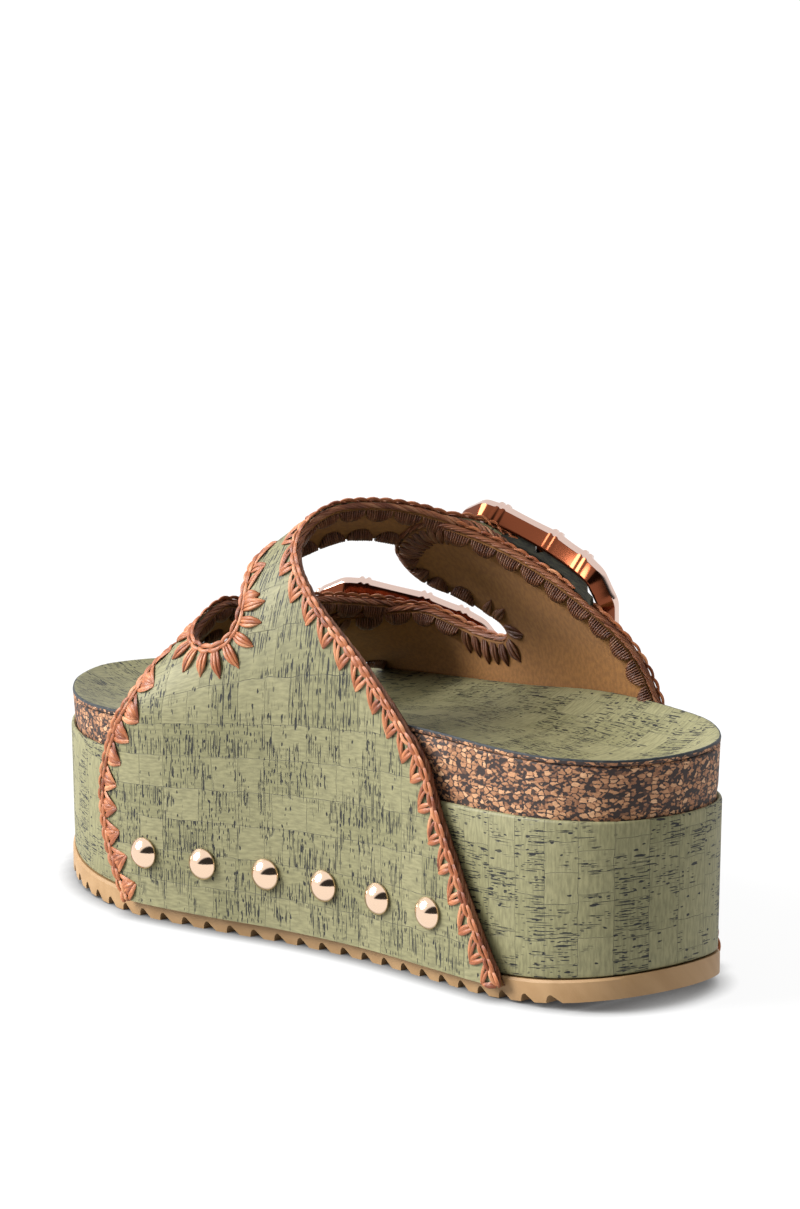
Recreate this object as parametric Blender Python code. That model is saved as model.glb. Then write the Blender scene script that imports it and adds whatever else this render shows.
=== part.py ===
"""A right-foot flatform sandal with two buckled straps.

Sizes are in millimetres. While the pieces are modelled the heel is at y = 0, the toe at y = LENGTH,
the lateral side at +x and the floor at z = 0. At the end an empty carries the whole shoe to the place
where the centre of its box stands over the origin.
"""
import math

import bmesh
import bpy
import numpy as np
from mathutils import Matrix, Vector

MM = 0.001
GAP = 0.3

# Sole: length, heights at heel and toe, and how far the ends lift off the floor
LENGTH = 250.0
HEEL_TIP = (1.5, 0.0)
TOE_TIP = (-4.0, LENGTH)
OUTSOLE_THICKNESS = 6.4
TOE_SPRING = 4.5
TOE_SPRING_FROM = 168.0
HEEL_LIFT = 5.0
HEEL_LIFT_FROM = 52.0
PLATFORM_HEEL = 54.5
PLATFORM_TOE = 46.0
PLATFORM_TAPER = 0.6
LIP_WIDTH = 1.3
LIP_DEPTH = 1.6
SECTIONS = 40
SOLE_OUTLINE = (
    # y from the heel, x of the medial edge, x of the lateral edge
    (6.0, -18.5, 21.5),
    (20.0, -28.8, 32.0),
    (40.0, -33.0, 35.5),
    (60.0, -33.6, 36.2),
    (90.0, -34.2, 37.6),
    (120.0, -38.6, 41.0),
    (150.0, -46.6, 44.6),
    (178.0, -51.2, 46.0),
    (205.0, -46.4, 43.0),
    (228.0, -33.6, 34.2),
    (243.0, -18.5, 19.0),
)

# Tread: saw teeth across the whole sole, each with a flat foot, a slope and an upright face
TOOTH_PITCH = 8.0
TOOTH_FOOT = 3.6
TOOTH_DEPTH = 2.4
TREAD_FROM = 14.0
TREAD_COUNT = 28

# Footbed and insole: rim heights, and how far the middle lies below the rim
INSOLE_THICKNESS = 1.8
INSOLE_INSET = 0.6
FOOTBED_BASE_INSET = LIP_WIDTH + GAP
FOOTBED_RIM_INSET = 0.7
DISH_REACH = 27.0
FOOTBED_ACROSS = 8
FOOTBED_STATIONS = (
    # y, rim height on the medial side, rim height on the lateral side, depth of the dish
    (0.0, 72.0, 72.0, 7.0),
    (30.0, 72.0, 73.4, 9.0),
    (70.0, 72.5, 73.0, 8.5),
    (105.0, 71.0, 68.5, 5.5),
    (140.0, 66.0, 64.5, 4.5),
    (180.0, 61.0, 60.5, 5.0),
    (220.0, 58.2, 58.2, 5.5),
    (250.0, 57.0, 57.0, 5.0),
)

# Upper: one last, cut by the edges of a medial and a lateral sheet
WALL = 2.6
PANEL_FOOT = 4.4
JOIN_DEPTH = 1.0
DROP_TO = 2.70
DROP_FROM = 2.86
MEDIAL_FULLNESS = 1.9
# The front buckle presses its strap down: how deep, and where this begins, is full and ends
PRESS_DEPTH = 2.6
PRESS_GIRTHS = (1.80, 2.05, 2.42, 2.70)
PRESS_RUN = (136.0, 147.0, 156.0, 174.0)
LAST_STATIONS = (
    # y, height where the wall begins to lean in, height and x of the crown, lateral fullness
    (0.0, 71.5, 146.0, -15.0, 1.65),
    (60.0, 70.5, 144.6, -15.0, 1.65),
    (95.0, 68.5, 138.0, -15.0, 1.65),
    (124.0, 66.0, 124.0, -15.0, 1.65),
    (148.0, 63.0, 107.0, -18.0, 1.60),
    (160.0, 61.5, 93.4, -21.0, 1.52),
    (176.0, 59.5, 76.6, -22.0, 1.50),
    (200.0, 57.5, 64.0, -22.0, 1.50),
)
# The girth runs 0 to 1 up the medial wall, 1 to 2 over the medial arch to the crown,
# 2 to 3 down the lateral arch and 3 to 4 down the lateral wall.
MEDIAL_EDGES = (
    # girth, y of the rear edge, of the cut-out's rear edge, of its front edge, of the front edge
    (0.00, 34.9, 88.0, 130.0, 177.2),
    (0.32, 47.0, 98.0, 138.0, 186.5),
    (0.66, 59.0, 111.0, 146.0, 188.0),
    (1.00, 72.0, 127.0, 152.0, 180.5),
    (1.15, 88.5, 137.0, 154.0, 176.5),
    (1.31, 106.6, 142.6, 149.4, 174.0),
    (1.34, 109.6, 140.6, 152.0, 173.8),
    (1.40, 114.4, 139.6, 155.4, 173.2),
    (1.50, 121.0, 141.0, 159.0, 173.0),
    (1.65, 127.0, 143.6, 160.2, 173.4),
    (1.80, 128.8, 145.6, 160.4, 173.8),
    (2.00, 126.0, 145.6, 160.0, 173.2),
    (2.20, 120.2, 139.0, 157.6, 171.6),
    (2.40, 108.4, 129.0, 152.8, 168.6),
    (2.55, 95.4, 119.0, 148.6, 168.0),
    (2.64, 89.4, 111.6, 148.0, 168.0),
    (2.69, 91.6, 104.6, 150.6, 165.0),
)
MEDIAL_CUT_FROM = 1.31
LATERAL_EDGES = (
    # girth, y of the rear edge, of the cut-out's rear edge, of its front edge, of the front edge
    (2.33, 117.0, 127.0, 161.0, 169.0),
    (2.37, 111.4, 132.8, 157.4, 173.4),
    (2.43, 106.0, 135.2, 155.4, 176.6),
    (2.51, 96.4, 135.0, 151.4, 178.8),
    (2.58, 86.6, 131.4, 146.8, 180.0),
    (2.64, 77.6, 124.4, 142.4, 180.4),
    (2.72, 66.0, 117.4, 134.6, 179.6),
    (2.79, 58.4, 109.0, 127.0, 178.0),
    (2.83, 55.2, 110.8, 118.6, 177.0),
    (3.00, 47.0, 96.0, 120.0, 175.0),
    (3.29, 39.6, 88.0, 124.0, 176.0),
    (3.63, 29.6, 80.0, 119.0, 171.0),
    (4.00, 20.9, 72.0, 112.0, 161.2),
)
LATERAL_CUT_TO = 2.83
STRAP_COLUMNS = 6
CUT_COLUMNS = 3
GIRTH_STEP = 0.09

# Buckles: frames with cut corners, each seated on a strap at a girth and a y
BUCKLE_LENGTH = 58.0
BUCKLE_WIDTH = 34.0
BUCKLE_DEPTH = 6.0
BUCKLE_BAR = 6.0
BUCKLE_CORNER = 7.0
BUCKLE_EDGE = 1.0
BUCKLE_BEND = 95.0
BUCKLE_PARTS = 6
CENTRE_BAR_RADIUS = 1.6
PRONG_RADIUS = 1.2
PRONG_ROOT = 2.0
PRONG_REACH = 2.0
ROD_SIDES = 10
BUCKLES = (
    # name, girth and y of the seat, turn about the seat's normal in degrees, lift over the strap
    ("front", 2.76, 159.0, -52.0, 1.9),
    ("rear", 2.66, 94.0, -66.0, 2.4),
)

# Studs along the foot of each panel
STUD_RADIUS = 4.7
STUD_FOOT = 0.6
STUD_DOME = 2.6
STUD_HEIGHT = 20.5
STUD_SIDES = 16
STUD_RINGS = 4
STUD_COUNT = 6
STUD_ROWS = (
    # side, which wall of the last, y of the rearmost stud, y of the foremost stud
    ("medial", 0, 63.0, 169.0),
    ("lateral", 1, 44.0, 148.0),
)

CLOSE = 0.01
GIRTH_CLOSE = 0.02
FINE_SECTIONS = 400
SHARP_EDGE = 35.0
HEEL_RAMP_PARTS = 3


def spline(knots, values, at):
    """Cubic through the knots, with the slope at each knot taken from its neighbours."""
    knots = np.asarray(knots, float)
    values = np.asarray(values, float)
    slopes = np.gradient(values, knots, axis=0)
    at = np.clip(at, knots[0], knots[-1])
    low = np.clip(np.searchsorted(knots, at, side="right") - 1, 0, len(knots) - 2)
    span = knots[low + 1] - knots[low]
    t = (at - knots[low]) / span
    if values.ndim > 1:
        span = span[..., None]
        t = t[..., None]
    start = values[low] * (2 * t**3 - 3 * t**2 + 1) + slopes[low] * span * (t**3 - 2 * t**2 + t)
    end = values[low + 1] * (3 * t**2 - 2 * t**3) + slopes[low + 1] * span * (t**3 - t**2)
    return start + end


def column(table, at, index):
    """One column of a table, read smoothly at values of its first column."""
    rows = np.array(table, float)
    return spline(rows[:, 0], rows[:, index], np.asarray(at, float))


def smoothstep(low, high, at):
    t = np.clip((at - low) / (high - low), 0.0, 1.0)
    return t * t * (3 - 2 * t)


def outline_sides(count, inset=0.0):
    """Matching points of the medial and the lateral edge, from the heel tip to the toe tip."""
    rows = np.array(SOLE_OUTLINE)
    lateral = np.column_stack([rows[:, 2], rows[:, 0]])
    medial = np.column_stack([rows[:, 1], rows[:, 0]])[::-1]
    loop = np.vstack([HEEL_TIP, lateral, TOE_TIP, medial])
    before = 3
    wrapped = np.vstack([loop[-before:], loop, loop[:before + 1]])
    steps = np.linalg.norm(np.diff(wrapped, axis=0), axis=1)
    knots = np.concatenate([[0.0], np.cumsum(steps)])
    heel = knots[before]
    toe = knots[before + len(rows) + 1]
    end = knots[before + len(loop)]

    def side(start, stop):
        at = np.linspace(start, stop, count + 1)
        tangent = spline(knots, wrapped, at + CLOSE) - spline(knots, wrapped, at - CLOSE)
        tangent /= np.linalg.norm(tangent, axis=1)[:, None]
        normal = np.column_stack([tangent[:, 1], -tangent[:, 0]])
        return spline(knots, wrapped, at) - inset * normal

    return side(end, toe), side(heel, toe)


FINE_MEDIAL, FINE_LATERAL = outline_sides(FINE_SECTIONS)


def sole_edge(y, wall):
    """The x of the sole's edge at y, on the medial wall (0) or the lateral wall (1)."""
    fine = (FINE_MEDIAL, FINE_LATERAL)[wall]
    return np.interp(y, fine[:, 1], fine[:, 0])


def spring(y):
    """How far the ends of the sole lift off the floor."""
    toe = np.clip((y - TOE_SPRING_FROM) / (LENGTH - TOE_SPRING_FROM), 0, 1)
    heel = np.clip((HEEL_LIFT_FROM - y) / HEEL_LIFT_FROM, 0, 1)
    return TOE_SPRING * toe**2 + HEEL_LIFT * heel**2


def outsole_top(x, y):
    return OUTSOLE_THICKNESS + spring(y)


def below_floor(x, y):
    return np.full_like(y, -OUTSOLE_THICKNESS)


def platform_foot(x, y):
    return outsole_top(x, y) + GAP


def platform_top(x, y):
    return PLATFORM_HEEL + (PLATFORM_TOE - PLATFORM_HEEL) * y / LENGTH


def lip_floor(x, y):
    return platform_top(x, y) - LIP_DEPTH


def above_lip(x, y):
    return platform_top(x, y) + LIP_DEPTH


def footbed_foot(x, y):
    return lip_floor(x, y) + GAP


def insole_top(x, y):
    """The contoured surface the foot stands on."""
    medial = sole_edge(y, 0)
    lateral = sole_edge(y, 1)
    across = smoothstep(medial, lateral, x)
    rim = column(FOOTBED_STATIONS, y, 1) * (1 - across) + column(FOOTBED_STATIONS, y, 2) * across
    edge = np.vstack([FINE_MEDIAL, FINE_LATERAL])
    points = np.stack([x, y], axis=-1)
    far = np.linalg.norm(points[..., None, :] - edge, axis=-1).min(axis=-1)
    inward = 1 - np.clip(far / DISH_REACH, 0, 1)
    return rim - column(FOOTBED_STATIONS, y, 3) * (1 - inward**2)


def insole_foot(x, y):
    return insole_top(x, y) - INSOLE_THICKNESS


def footbed_top(x, y):
    return insole_foot(x, y) - 2 * GAP


def chord_grid(inset, across, height):
    """Rows of points between the matching edges, with the heel tip first and the toe tip last."""
    medial, lateral = outline_sides(SECTIONS, inset)
    share = np.linspace(0, 1, across + 1)[None, :, None]
    rows = medial[1:-1, None, :] * (1 - share) + lateral[1:-1, None, :] * share
    flat = np.vstack([medial[:1], rows.reshape(-1, 2), medial[-1:]])
    return np.column_stack([flat, height(flat[:, 0], flat[:, 1])])


def grid_faces(across, offset):
    """Faces of a chord grid looking up, and its edge loop seen from above."""
    rows = SECTIONS - 1
    heel = offset
    toe = offset + rows * (across + 1) + 1

    def at(row, place):
        return offset + 1 + row * (across + 1) + place

    faces = []
    for place in range(across):
        faces.append((heel, at(0, place + 1), at(0, place)))
        faces.append((toe, at(rows - 1, place), at(rows - 1, place + 1)))
        for row in range(rows - 1):
            faces.append((at(row, place), at(row, place + 1), at(row + 1, place + 1), at(row + 1, place)))
    lateral = [at(row, across) for row in range(rows)]
    medial = [at(row, 0) for row in reversed(range(rows))]
    return faces, [heel] + lateral + [toe] + medial


def plate(name, colour, foot, top):
    """A slab with the sole's outline; foot and top are an inset, a count across and a height."""
    foot_points = chord_grid(*foot)
    top_points = chord_grid(*top)
    foot_faces, foot_loop = grid_faces(foot[1], 0)
    top_faces, top_loop = grid_faces(top[1], len(foot_points))
    faces = [tuple(reversed(face)) for face in foot_faces] + top_faces
    for place in range(len(foot_loop)):
        after = (place + 1) % len(foot_loop)
        faces.append((foot_loop[place], foot_loop[after], top_loop[after], top_loop[place]))
    return solid(name, colour, np.vstack([foot_points, top_points]), faces)


def finish(name, red, green, blue, roughness, metallic):
    """A plain material."""
    material = bpy.data.materials.new(name)
    material.use_nodes = True
    shader = material.node_tree.nodes["Principled BSDF"]
    shader.inputs["Base Color"].default_value = (red, green, blue, 1.0)
    shader.inputs["Roughness"].default_value = roughness
    shader.inputs["Metallic"].default_value = metallic
    return material


def solid(name, colour, points, faces):
    """A mesh object with every face turned outwards."""
    mesh = bpy.data.meshes.new(name)
    mesh.from_pydata([tuple(point) for point in np.asarray(points) * MM], [], faces)
    return placed(name, colour, mesh)


def placed(name, colour, mesh):
    shape = bmesh.new()
    shape.from_mesh(mesh)
    bmesh.ops.recalc_face_normals(shape, faces=shape.faces)
    shape.to_mesh(mesh)
    shape.free()
    mesh.materials.append(colour)
    mesh.shade_smooth()
    mesh.set_sharp_from_angle(angle=math.radians(SHARP_EDGE))
    piece = bpy.data.objects.new(name, mesh)
    bpy.context.scene.collection.objects.link(piece)
    return piece


def combine(piece, tool, operation):
    """Cut or join with a hidden tool."""
    tool.hide_render = True
    tool.display_type = "WIRE"
    modifier = piece.modifiers.new(tool.name, "BOOLEAN")
    modifier.operation = operation
    modifier.solver = "EXACT"
    modifier.object = tool
    return piece


def tread_tool(colour):
    """Everything under the tread: a long saw-toothed profile carried across the sole."""
    profile = [(-LENGTH, HEEL_LIFT), (0.0, HEEL_LIFT)]
    ramp = np.linspace(0, TREAD_FROM, HEEL_RAMP_PARTS + 1)[1:]
    profile += [(y, float(spring(y))) for y in ramp]
    for tooth in range(TREAD_COUNT):
        y = TREAD_FROM + tooth * TOOTH_PITCH
        ground = float(spring(y + TOOTH_PITCH))
        profile.append((y + TOOTH_FOOT, float(spring(y + TOOTH_FOOT))))
        profile.append((y + TOOTH_PITCH, ground + TOOTH_DEPTH))
        profile.append((y + TOOTH_PITCH, ground))
    profile += [(LENGTH, TOE_SPRING), (2 * LENGTH, TOE_SPRING)]
    depth = -2 * OUTSOLE_THICKNESS
    profile += [(2 * LENGTH, depth), (-LENGTH, depth)]
    count = len(profile)
    points = [(side * LENGTH, y, z) for side in (-1, 1) for y, z in profile]
    faces = [tuple(range(count)), tuple(reversed(range(count, 2 * count)))]
    for place in range(count):
        after = (place + 1) % count
        faces.append((place, after, count + after, count + place))
    return solid("tread_tool", colour, points, faces)


def make_sole(colours):
    base = plate("outsole", colours["rubber"], (0.0, 1, below_floor), (0.0, 1, outsole_top))
    outsole = combine(base, tread_tool(colours["rubber"]), "DIFFERENCE")
    block = plate("platform", colours["cork_fabric"], (PLATFORM_TAPER, 1, platform_foot),
                  (0.0, 1, platform_top))
    recess = plate("recess_tool", colours["cork_fabric"], (LIP_WIDTH, 1, lip_floor),
                   (LIP_WIDTH, 1, above_lip))
    platform = combine(block, recess, "DIFFERENCE")
    footbed = plate("footbed", colours["cork"], (FOOTBED_BASE_INSET, 1, footbed_foot),
                    (FOOTBED_RIM_INSET, FOOTBED_ACROSS, footbed_top))
    insole = plate("insole", colours["cork_fabric"], (INSOLE_INSET, FOOTBED_ACROSS, insole_foot),
                   (INSOLE_INSET, FOOTBED_ACROSS, insole_top))
    return [outsole, platform, footbed, insole]


def press(girth, y):
    """How far the buckle presses the rear edge of the front strap down, beside the crown."""
    around = smoothstep(PRESS_GIRTHS[0], PRESS_GIRTHS[1], girth) \
        * (1 - smoothstep(PRESS_GIRTHS[2], PRESS_GIRTHS[3], girth))
    along = smoothstep(PRESS_RUN[0], PRESS_RUN[1], y) * (1 - smoothstep(PRESS_RUN[2], PRESS_RUN[3], y))
    return PRESS_DEPTH * around * along


def last_point(girth, y):
    """A point of the last, which is the inner face of the upper."""
    girth = np.asarray(girth, float)
    y = np.asarray(y, float)
    shoulder = column(LAST_STATIONS, y, 1)
    crown = column(LAST_STATIONS, y, 2)
    ridge = column(LAST_STATIONS, y, 3)
    on_medial = girth < 2
    wall = np.where(on_medial, sole_edge(y, 0) - GAP, sole_edge(y, 1) + GAP)
    fullness = np.where(on_medial, MEDIAL_FULLNESS, column(LAST_STATIONS, y, 4))
    turn = np.clip(np.where(on_medial, girth - 1, 3 - girth), 0, 1) * math.pi / 2
    x = ridge + (wall - ridge) * np.clip(np.cos(turn), 0, 1) ** (2 / fullness)
    arch = shoulder + (crown - shoulder) * np.sin(turn) ** (2 / fullness)
    climb = np.clip(np.where(on_medial, girth, 4 - girth), 0, 1)
    z = np.where(climb < 1, PANEL_FOOT + (shoulder - PANEL_FOOT) * climb, arch)
    return np.stack([x, y, z - press(girth, y)], axis=-1)


def last_normal(girth, y):
    """The outward normal of the last."""
    ahead = np.minimum(girth + GIRTH_CLOSE, 4)
    behind = np.maximum(girth - GIRTH_CLOSE, 0)
    around = last_point(ahead, y) - last_point(behind, y)
    along = last_point(girth, y + 1) - last_point(girth, y - 1)
    normal = np.cross(around, along)
    normal /= np.linalg.norm(normal, axis=-1)[..., None]
    return normal


def girth_rows(edges):
    """The girths of the table's rows, with even steps put in between."""
    knots = [row[0] for row in edges]
    rows = [knots[0]]
    for low, high in zip(knots, knots[1:]):
        parts = max(1, math.ceil((high - low) / GIRTH_STEP))
        rows += list(np.linspace(low, high, parts + 1)[1:])
    return np.array(rows)


def sheet(name, colour, edges, in_cut, drop):
    """A wall cut from the last, between a rear and a front edge, with a cut-out between two straps."""
    rows = girth_rows(edges)
    spans = (STRAP_COLUMNS, CUT_COLUMNS, STRAP_COLUMNS)
    lines = [column(edges, rows, place) for place in (1, 2, 3, 4)]
    columns = [lines[0]]
    for span, low, high in zip(spans, lines, lines[1:]):
        columns += [low + (high - low) * part / span for part in range(1, span + 1)]
    y = np.stack(columns, axis=1)
    girth = np.broadcast_to(rows[:, None], y.shape)
    normal = last_normal(girth, y)
    inner = last_point(girth, y) + normal * drop(girth)[..., None]
    outer = inner + normal * WALL
    cells = []
    for row in range(len(rows) - 1):
        middle = (rows[row] + rows[row + 1]) / 2
        for place in range(y.shape[1] - 1):
            open_here = STRAP_COLUMNS <= place < STRAP_COLUMNS + CUT_COLUMNS
            if not (open_here and in_cut(middle)):
                cells.append((row, place))
    return walled(name, colour, inner, outer, cells)


def walled(name, colour, inner, outer, cells):
    """A closed wall from two matching grids of points, over the cells that are kept."""
    width = inner.shape[1]
    count = inner.shape[0] * width
    corner_steps = ((0, 0), (0, 1), (1, 1), (1, 0))
    faces = []
    seen = {}
    for row, place in cells:
        corners = [(row + down) * width + place + over for down, over in corner_steps]
        faces.append(tuple(corners))
        faces.append(tuple(count + corner for corner in reversed(corners)))
        for start, stop in zip(corners, corners[1:] + corners[:1]):
            seen[(start, stop)] = True
    for start, stop in seen:
        if (stop, start) not in seen:
            faces.append((stop, start, count + start, count + stop))
    points = np.vstack([inner.reshape(-1, 3), outer.reshape(-1, 3)])
    used = sorted({corner for face in faces for corner in face})
    place_of = {corner: place for place, corner in enumerate(used)}
    kept = [tuple(place_of[corner] for corner in face) for face in faces]
    return solid(name, colour, points[used], kept)


def tab_drop(girth):
    """The lateral tabs dip under the medial straps, and are pressed into them a little."""
    return (JOIN_DEPTH - WALL) * (1 - smoothstep(DROP_TO, DROP_FROM, girth))


def no_drop(girth):
    return np.zeros_like(girth)


def make_upper(colours):
    medial = sheet("upper", colours["cork_fabric"], MEDIAL_EDGES,
                   lambda girth: girth > MEDIAL_CUT_FROM, no_drop)
    lateral = sheet("lateral_tool", colours["cork_fabric"], LATERAL_EDGES,
                    lambda girth: girth < LATERAL_CUT_TO, tab_drop)
    return combine(medial, lateral, "UNION")


def seat(girth, y, height, turn=0.0):
    """A frame on the outside of the upper: x along the strap, z out of it."""
    girth = np.array(girth)
    y = np.array(y)
    out = Vector(last_normal(girth, y))
    along = Vector(last_point(girth + CLOSE, y) - last_point(girth - CLOSE, y)).normalized()
    along = Matrix.Rotation(math.radians(turn), 3, out) @ along
    along = (along - out * along.dot(out)).normalized()
    over = out.cross(along)
    origin = (Vector(last_point(girth, y)) + out * height) * MM
    frame = Matrix((along, over, out)).transposed().to_4x4()
    frame.translation = origin
    return frame


def cut_corner_loop(length, width, corner):
    """A rectangle with cut corners and divided long sides, seen from above."""
    x = length / 2
    y = width / 2
    run = np.linspace(x - corner, corner - x, BUCKLE_PARTS + 1)
    far = [(float(place), y) for place in run]
    near = [(float(-place), -y) for place in run]
    return [(x, y - corner)] + far + [(-x, y - corner), (-x, corner - y)] + near + [(x, corner - y)]


def bend(x):
    """How far the buckle dips at x, so that it follows the curve of the strap."""
    return x**2 / (2 * BUCKLE_BEND)


def buckle_frame(name, colour):
    """A bent ring with cut corners, softened along its edges."""
    outer = cut_corner_loop(BUCKLE_LENGTH, BUCKLE_WIDTH, BUCKLE_CORNER)
    window = 2 * BUCKLE_BAR
    inner = cut_corner_loop(BUCKLE_LENGTH - window, BUCKLE_WIDTH - window, BUCKLE_CORNER / 2)
    count = len(outer)
    levels = [(z, loop) for z in (0.0, BUCKLE_DEPTH) for loop in (outer, inner)]
    points = [(x, y, z - bend(x)) for z, loop in levels for x, y in loop]
    faces = []
    for place in range(count):
        after = (place + 1) % count
        foot_out, foot_in, top_out, top_in = [
            (level * count + place, level * count + after) for level in range(4)]
        faces.append(foot_out[::-1] + foot_in)
        faces.append(top_out + top_in[::-1])
        faces.append(foot_out + top_out[::-1])
        faces.append(foot_in[::-1] + top_in)
    frame = solid(name, colour, points, faces)
    soften = frame.modifiers.new("edges", "BEVEL")
    soften.width = BUCKLE_EDGE * MM
    soften.segments = 1
    return frame


def rod(name, colour, start, stop, radius):
    """A round rod between two points."""
    start = Vector(start)
    stop = Vector(stop)
    shape = bmesh.new()
    length = (stop - start).length * MM
    bmesh.ops.create_cone(shape, cap_ends=True, segments=ROD_SIDES, radius1=radius * MM,
                          radius2=radius * MM, depth=length)
    turn = (stop - start).to_track_quat("Z", "Y").to_matrix().to_4x4()
    shape.transform(Matrix.Translation((start + stop) / 2 * MM) @ turn)
    mesh = bpy.data.meshes.new(name)
    shape.to_mesh(mesh)
    shape.free()
    return placed(name, colour, mesh)


def make_buckle(name, girth, y, turn, lift, colour):
    """A frame with its centre bar, and the prong that rests on the frame's medial end."""
    frame = buckle_frame("buckle_" + name, colour)
    reach = (BUCKLE_WIDTH - BUCKLE_BAR) / 2
    bar = rod("centre_bar_tool_" + name, colour, (0, -reach, CENTRE_BAR_RADIUS),
              (0, reach, CENTRE_BAR_RADIUS), CENTRE_BAR_RADIUS)
    combine(frame, bar, "UNION")
    root = -CENTRE_BAR_RADIUS - 2 * GAP
    end_bar = BUCKLE_BAR - BUCKLE_LENGTH / 2
    top = BUCKLE_DEPTH - bend(end_bar) + PRONG_RADIUS
    slope = (top - PRONG_ROOT) / (root - end_bar)
    reach = BUCKLE_BAR + PRONG_REACH
    prong = rod("prong_" + name, colour, (root, 0, PRONG_ROOT),
                (end_bar - reach, 0, top + slope * reach), PRONG_RADIUS)
    place = seat(girth, y, WALL + lift, turn)
    for piece in (frame, bar, prong):
        piece.matrix_world = place
    return [frame, bar, prong]


def stud_mesh():
    """A flat-footed dome, turned about z."""
    bend = (STUD_RADIUS**2 + STUD_DOME**2) / (2 * STUD_DOME)
    sweep = math.asin(STUD_RADIUS / bend)
    profile = [(STUD_RADIUS, 0.0)]
    for ring in range(STUD_RINGS):
        angle = sweep * (1 - ring / STUD_RINGS)
        profile.append((bend * math.sin(angle), STUD_FOOT + STUD_DOME - bend * (1 - math.cos(angle))))
    points = []
    for radius, height in profile:
        for side in range(STUD_SIDES):
            angle = 2 * math.pi * side / STUD_SIDES
            points.append((radius * math.cos(angle), radius * math.sin(angle), height))
    crown = len(points)
    points.append((0.0, 0.0, STUD_FOOT + STUD_DOME))
    faces = [tuple(reversed(range(STUD_SIDES)))]
    for side in range(STUD_SIDES):
        after = (side + 1) % STUD_SIDES
        for ring in range(len(profile) - 1):
            low = ring * STUD_SIDES
            high = low + STUD_SIDES
            faces.append((low + side, low + after, high + after, high + side))
        last = (len(profile) - 1) * STUD_SIDES
        faces.append((last + side, last + after, crown))
    return points, faces


def make_studs(colour):
    studs = []
    points, faces = stud_mesh()
    for side, wall, rear, front in STUD_ROWS:
        for number in range(STUD_COUNT):
            y = front + (rear - front) * number / (STUD_COUNT - 1)
            shoulder = float(column(LAST_STATIONS, y, 1))
            climb = (STUD_HEIGHT - PANEL_FOOT) / (shoulder - PANEL_FOOT)
            girth = climb if wall == 0 else 4 - climb
            stud = solid(f"stud_{side}_{number + 1}", colour, points, faces)
            stud.matrix_world = seat(girth, y, WALL + GAP)
            studs.append(stud)
    return studs


def stand_on_origin(pieces):
    """Carry the shoe with an empty so that its box is centred over the origin."""
    carrier = bpy.data.objects.new("shoe", None)
    bpy.context.scene.collection.objects.link(carrier)
    bpy.context.view_layer.update()
    graph = bpy.context.evaluated_depsgraph_get()
    corners = []
    for piece in pieces:
        if piece.hide_render:
            continue
        shape = piece.evaluated_get(graph)
        corners += [shape.matrix_world @ vertex.co for vertex in shape.data.vertices]
    corners = np.array(corners)
    middle = (corners.min(axis=0) + corners.max(axis=0)) / 2
    for piece in bpy.data.objects:
        if piece is not carrier:
            piece.parent = carrier
    carrier.location = (-middle[0], -middle[1], -corners[:, 2].min())


def main():
    for old in list(bpy.data.objects):
        bpy.data.objects.remove(old)
    colours = {
        "rubber": finish("rubber", 0.52, 0.36, 0.20, 0.65, 0.0),
        "cork_fabric": finish("cork_fabric", 0.26, 0.27, 0.15, 0.7, 0.0),
        "cork": finish("cork", 0.30, 0.15, 0.07, 0.8, 0.0),
        "rose_metal": finish("rose_metal", 0.85, 0.55, 0.42, 0.12, 1.0),
    }
    pieces = make_sole(colours)
    pieces.append(make_upper(colours))
    for row in BUCKLES:
        pieces += make_buckle(*row, colours["rose_metal"])
    pieces += make_studs(colours["rose_metal"])
    stand_on_origin(pieces)


main()
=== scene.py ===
"""The looks of a right-foot flatform sandal with two buckled straps.

Sizes are in millimetres in the shoe's own frame: heel at y = 0, toe at y = LENGTH, lateral side at +x,
floor at z = 0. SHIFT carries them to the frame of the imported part.
"""
import math

import bpy
import numpy as np
from mathutils import Matrix, Vector
from mathutils.geometry import delaunay_2d_cdt


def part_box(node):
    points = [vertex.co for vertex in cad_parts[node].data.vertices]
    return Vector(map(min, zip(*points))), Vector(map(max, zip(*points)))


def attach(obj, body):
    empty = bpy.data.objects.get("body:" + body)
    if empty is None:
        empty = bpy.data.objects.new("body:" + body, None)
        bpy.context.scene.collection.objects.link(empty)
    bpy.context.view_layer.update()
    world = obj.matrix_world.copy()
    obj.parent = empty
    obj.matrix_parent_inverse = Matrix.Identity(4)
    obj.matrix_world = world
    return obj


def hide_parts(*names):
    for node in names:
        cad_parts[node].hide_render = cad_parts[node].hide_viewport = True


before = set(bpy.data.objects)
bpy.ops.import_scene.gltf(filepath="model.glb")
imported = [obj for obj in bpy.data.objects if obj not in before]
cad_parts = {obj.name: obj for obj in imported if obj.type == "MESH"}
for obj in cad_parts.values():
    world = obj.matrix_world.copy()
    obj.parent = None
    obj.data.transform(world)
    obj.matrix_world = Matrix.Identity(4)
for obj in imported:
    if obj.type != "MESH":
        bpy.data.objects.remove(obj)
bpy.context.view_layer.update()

MM = 0.001
GAP = 0.3
CHANCE = np.random.default_rng(11)

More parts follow.
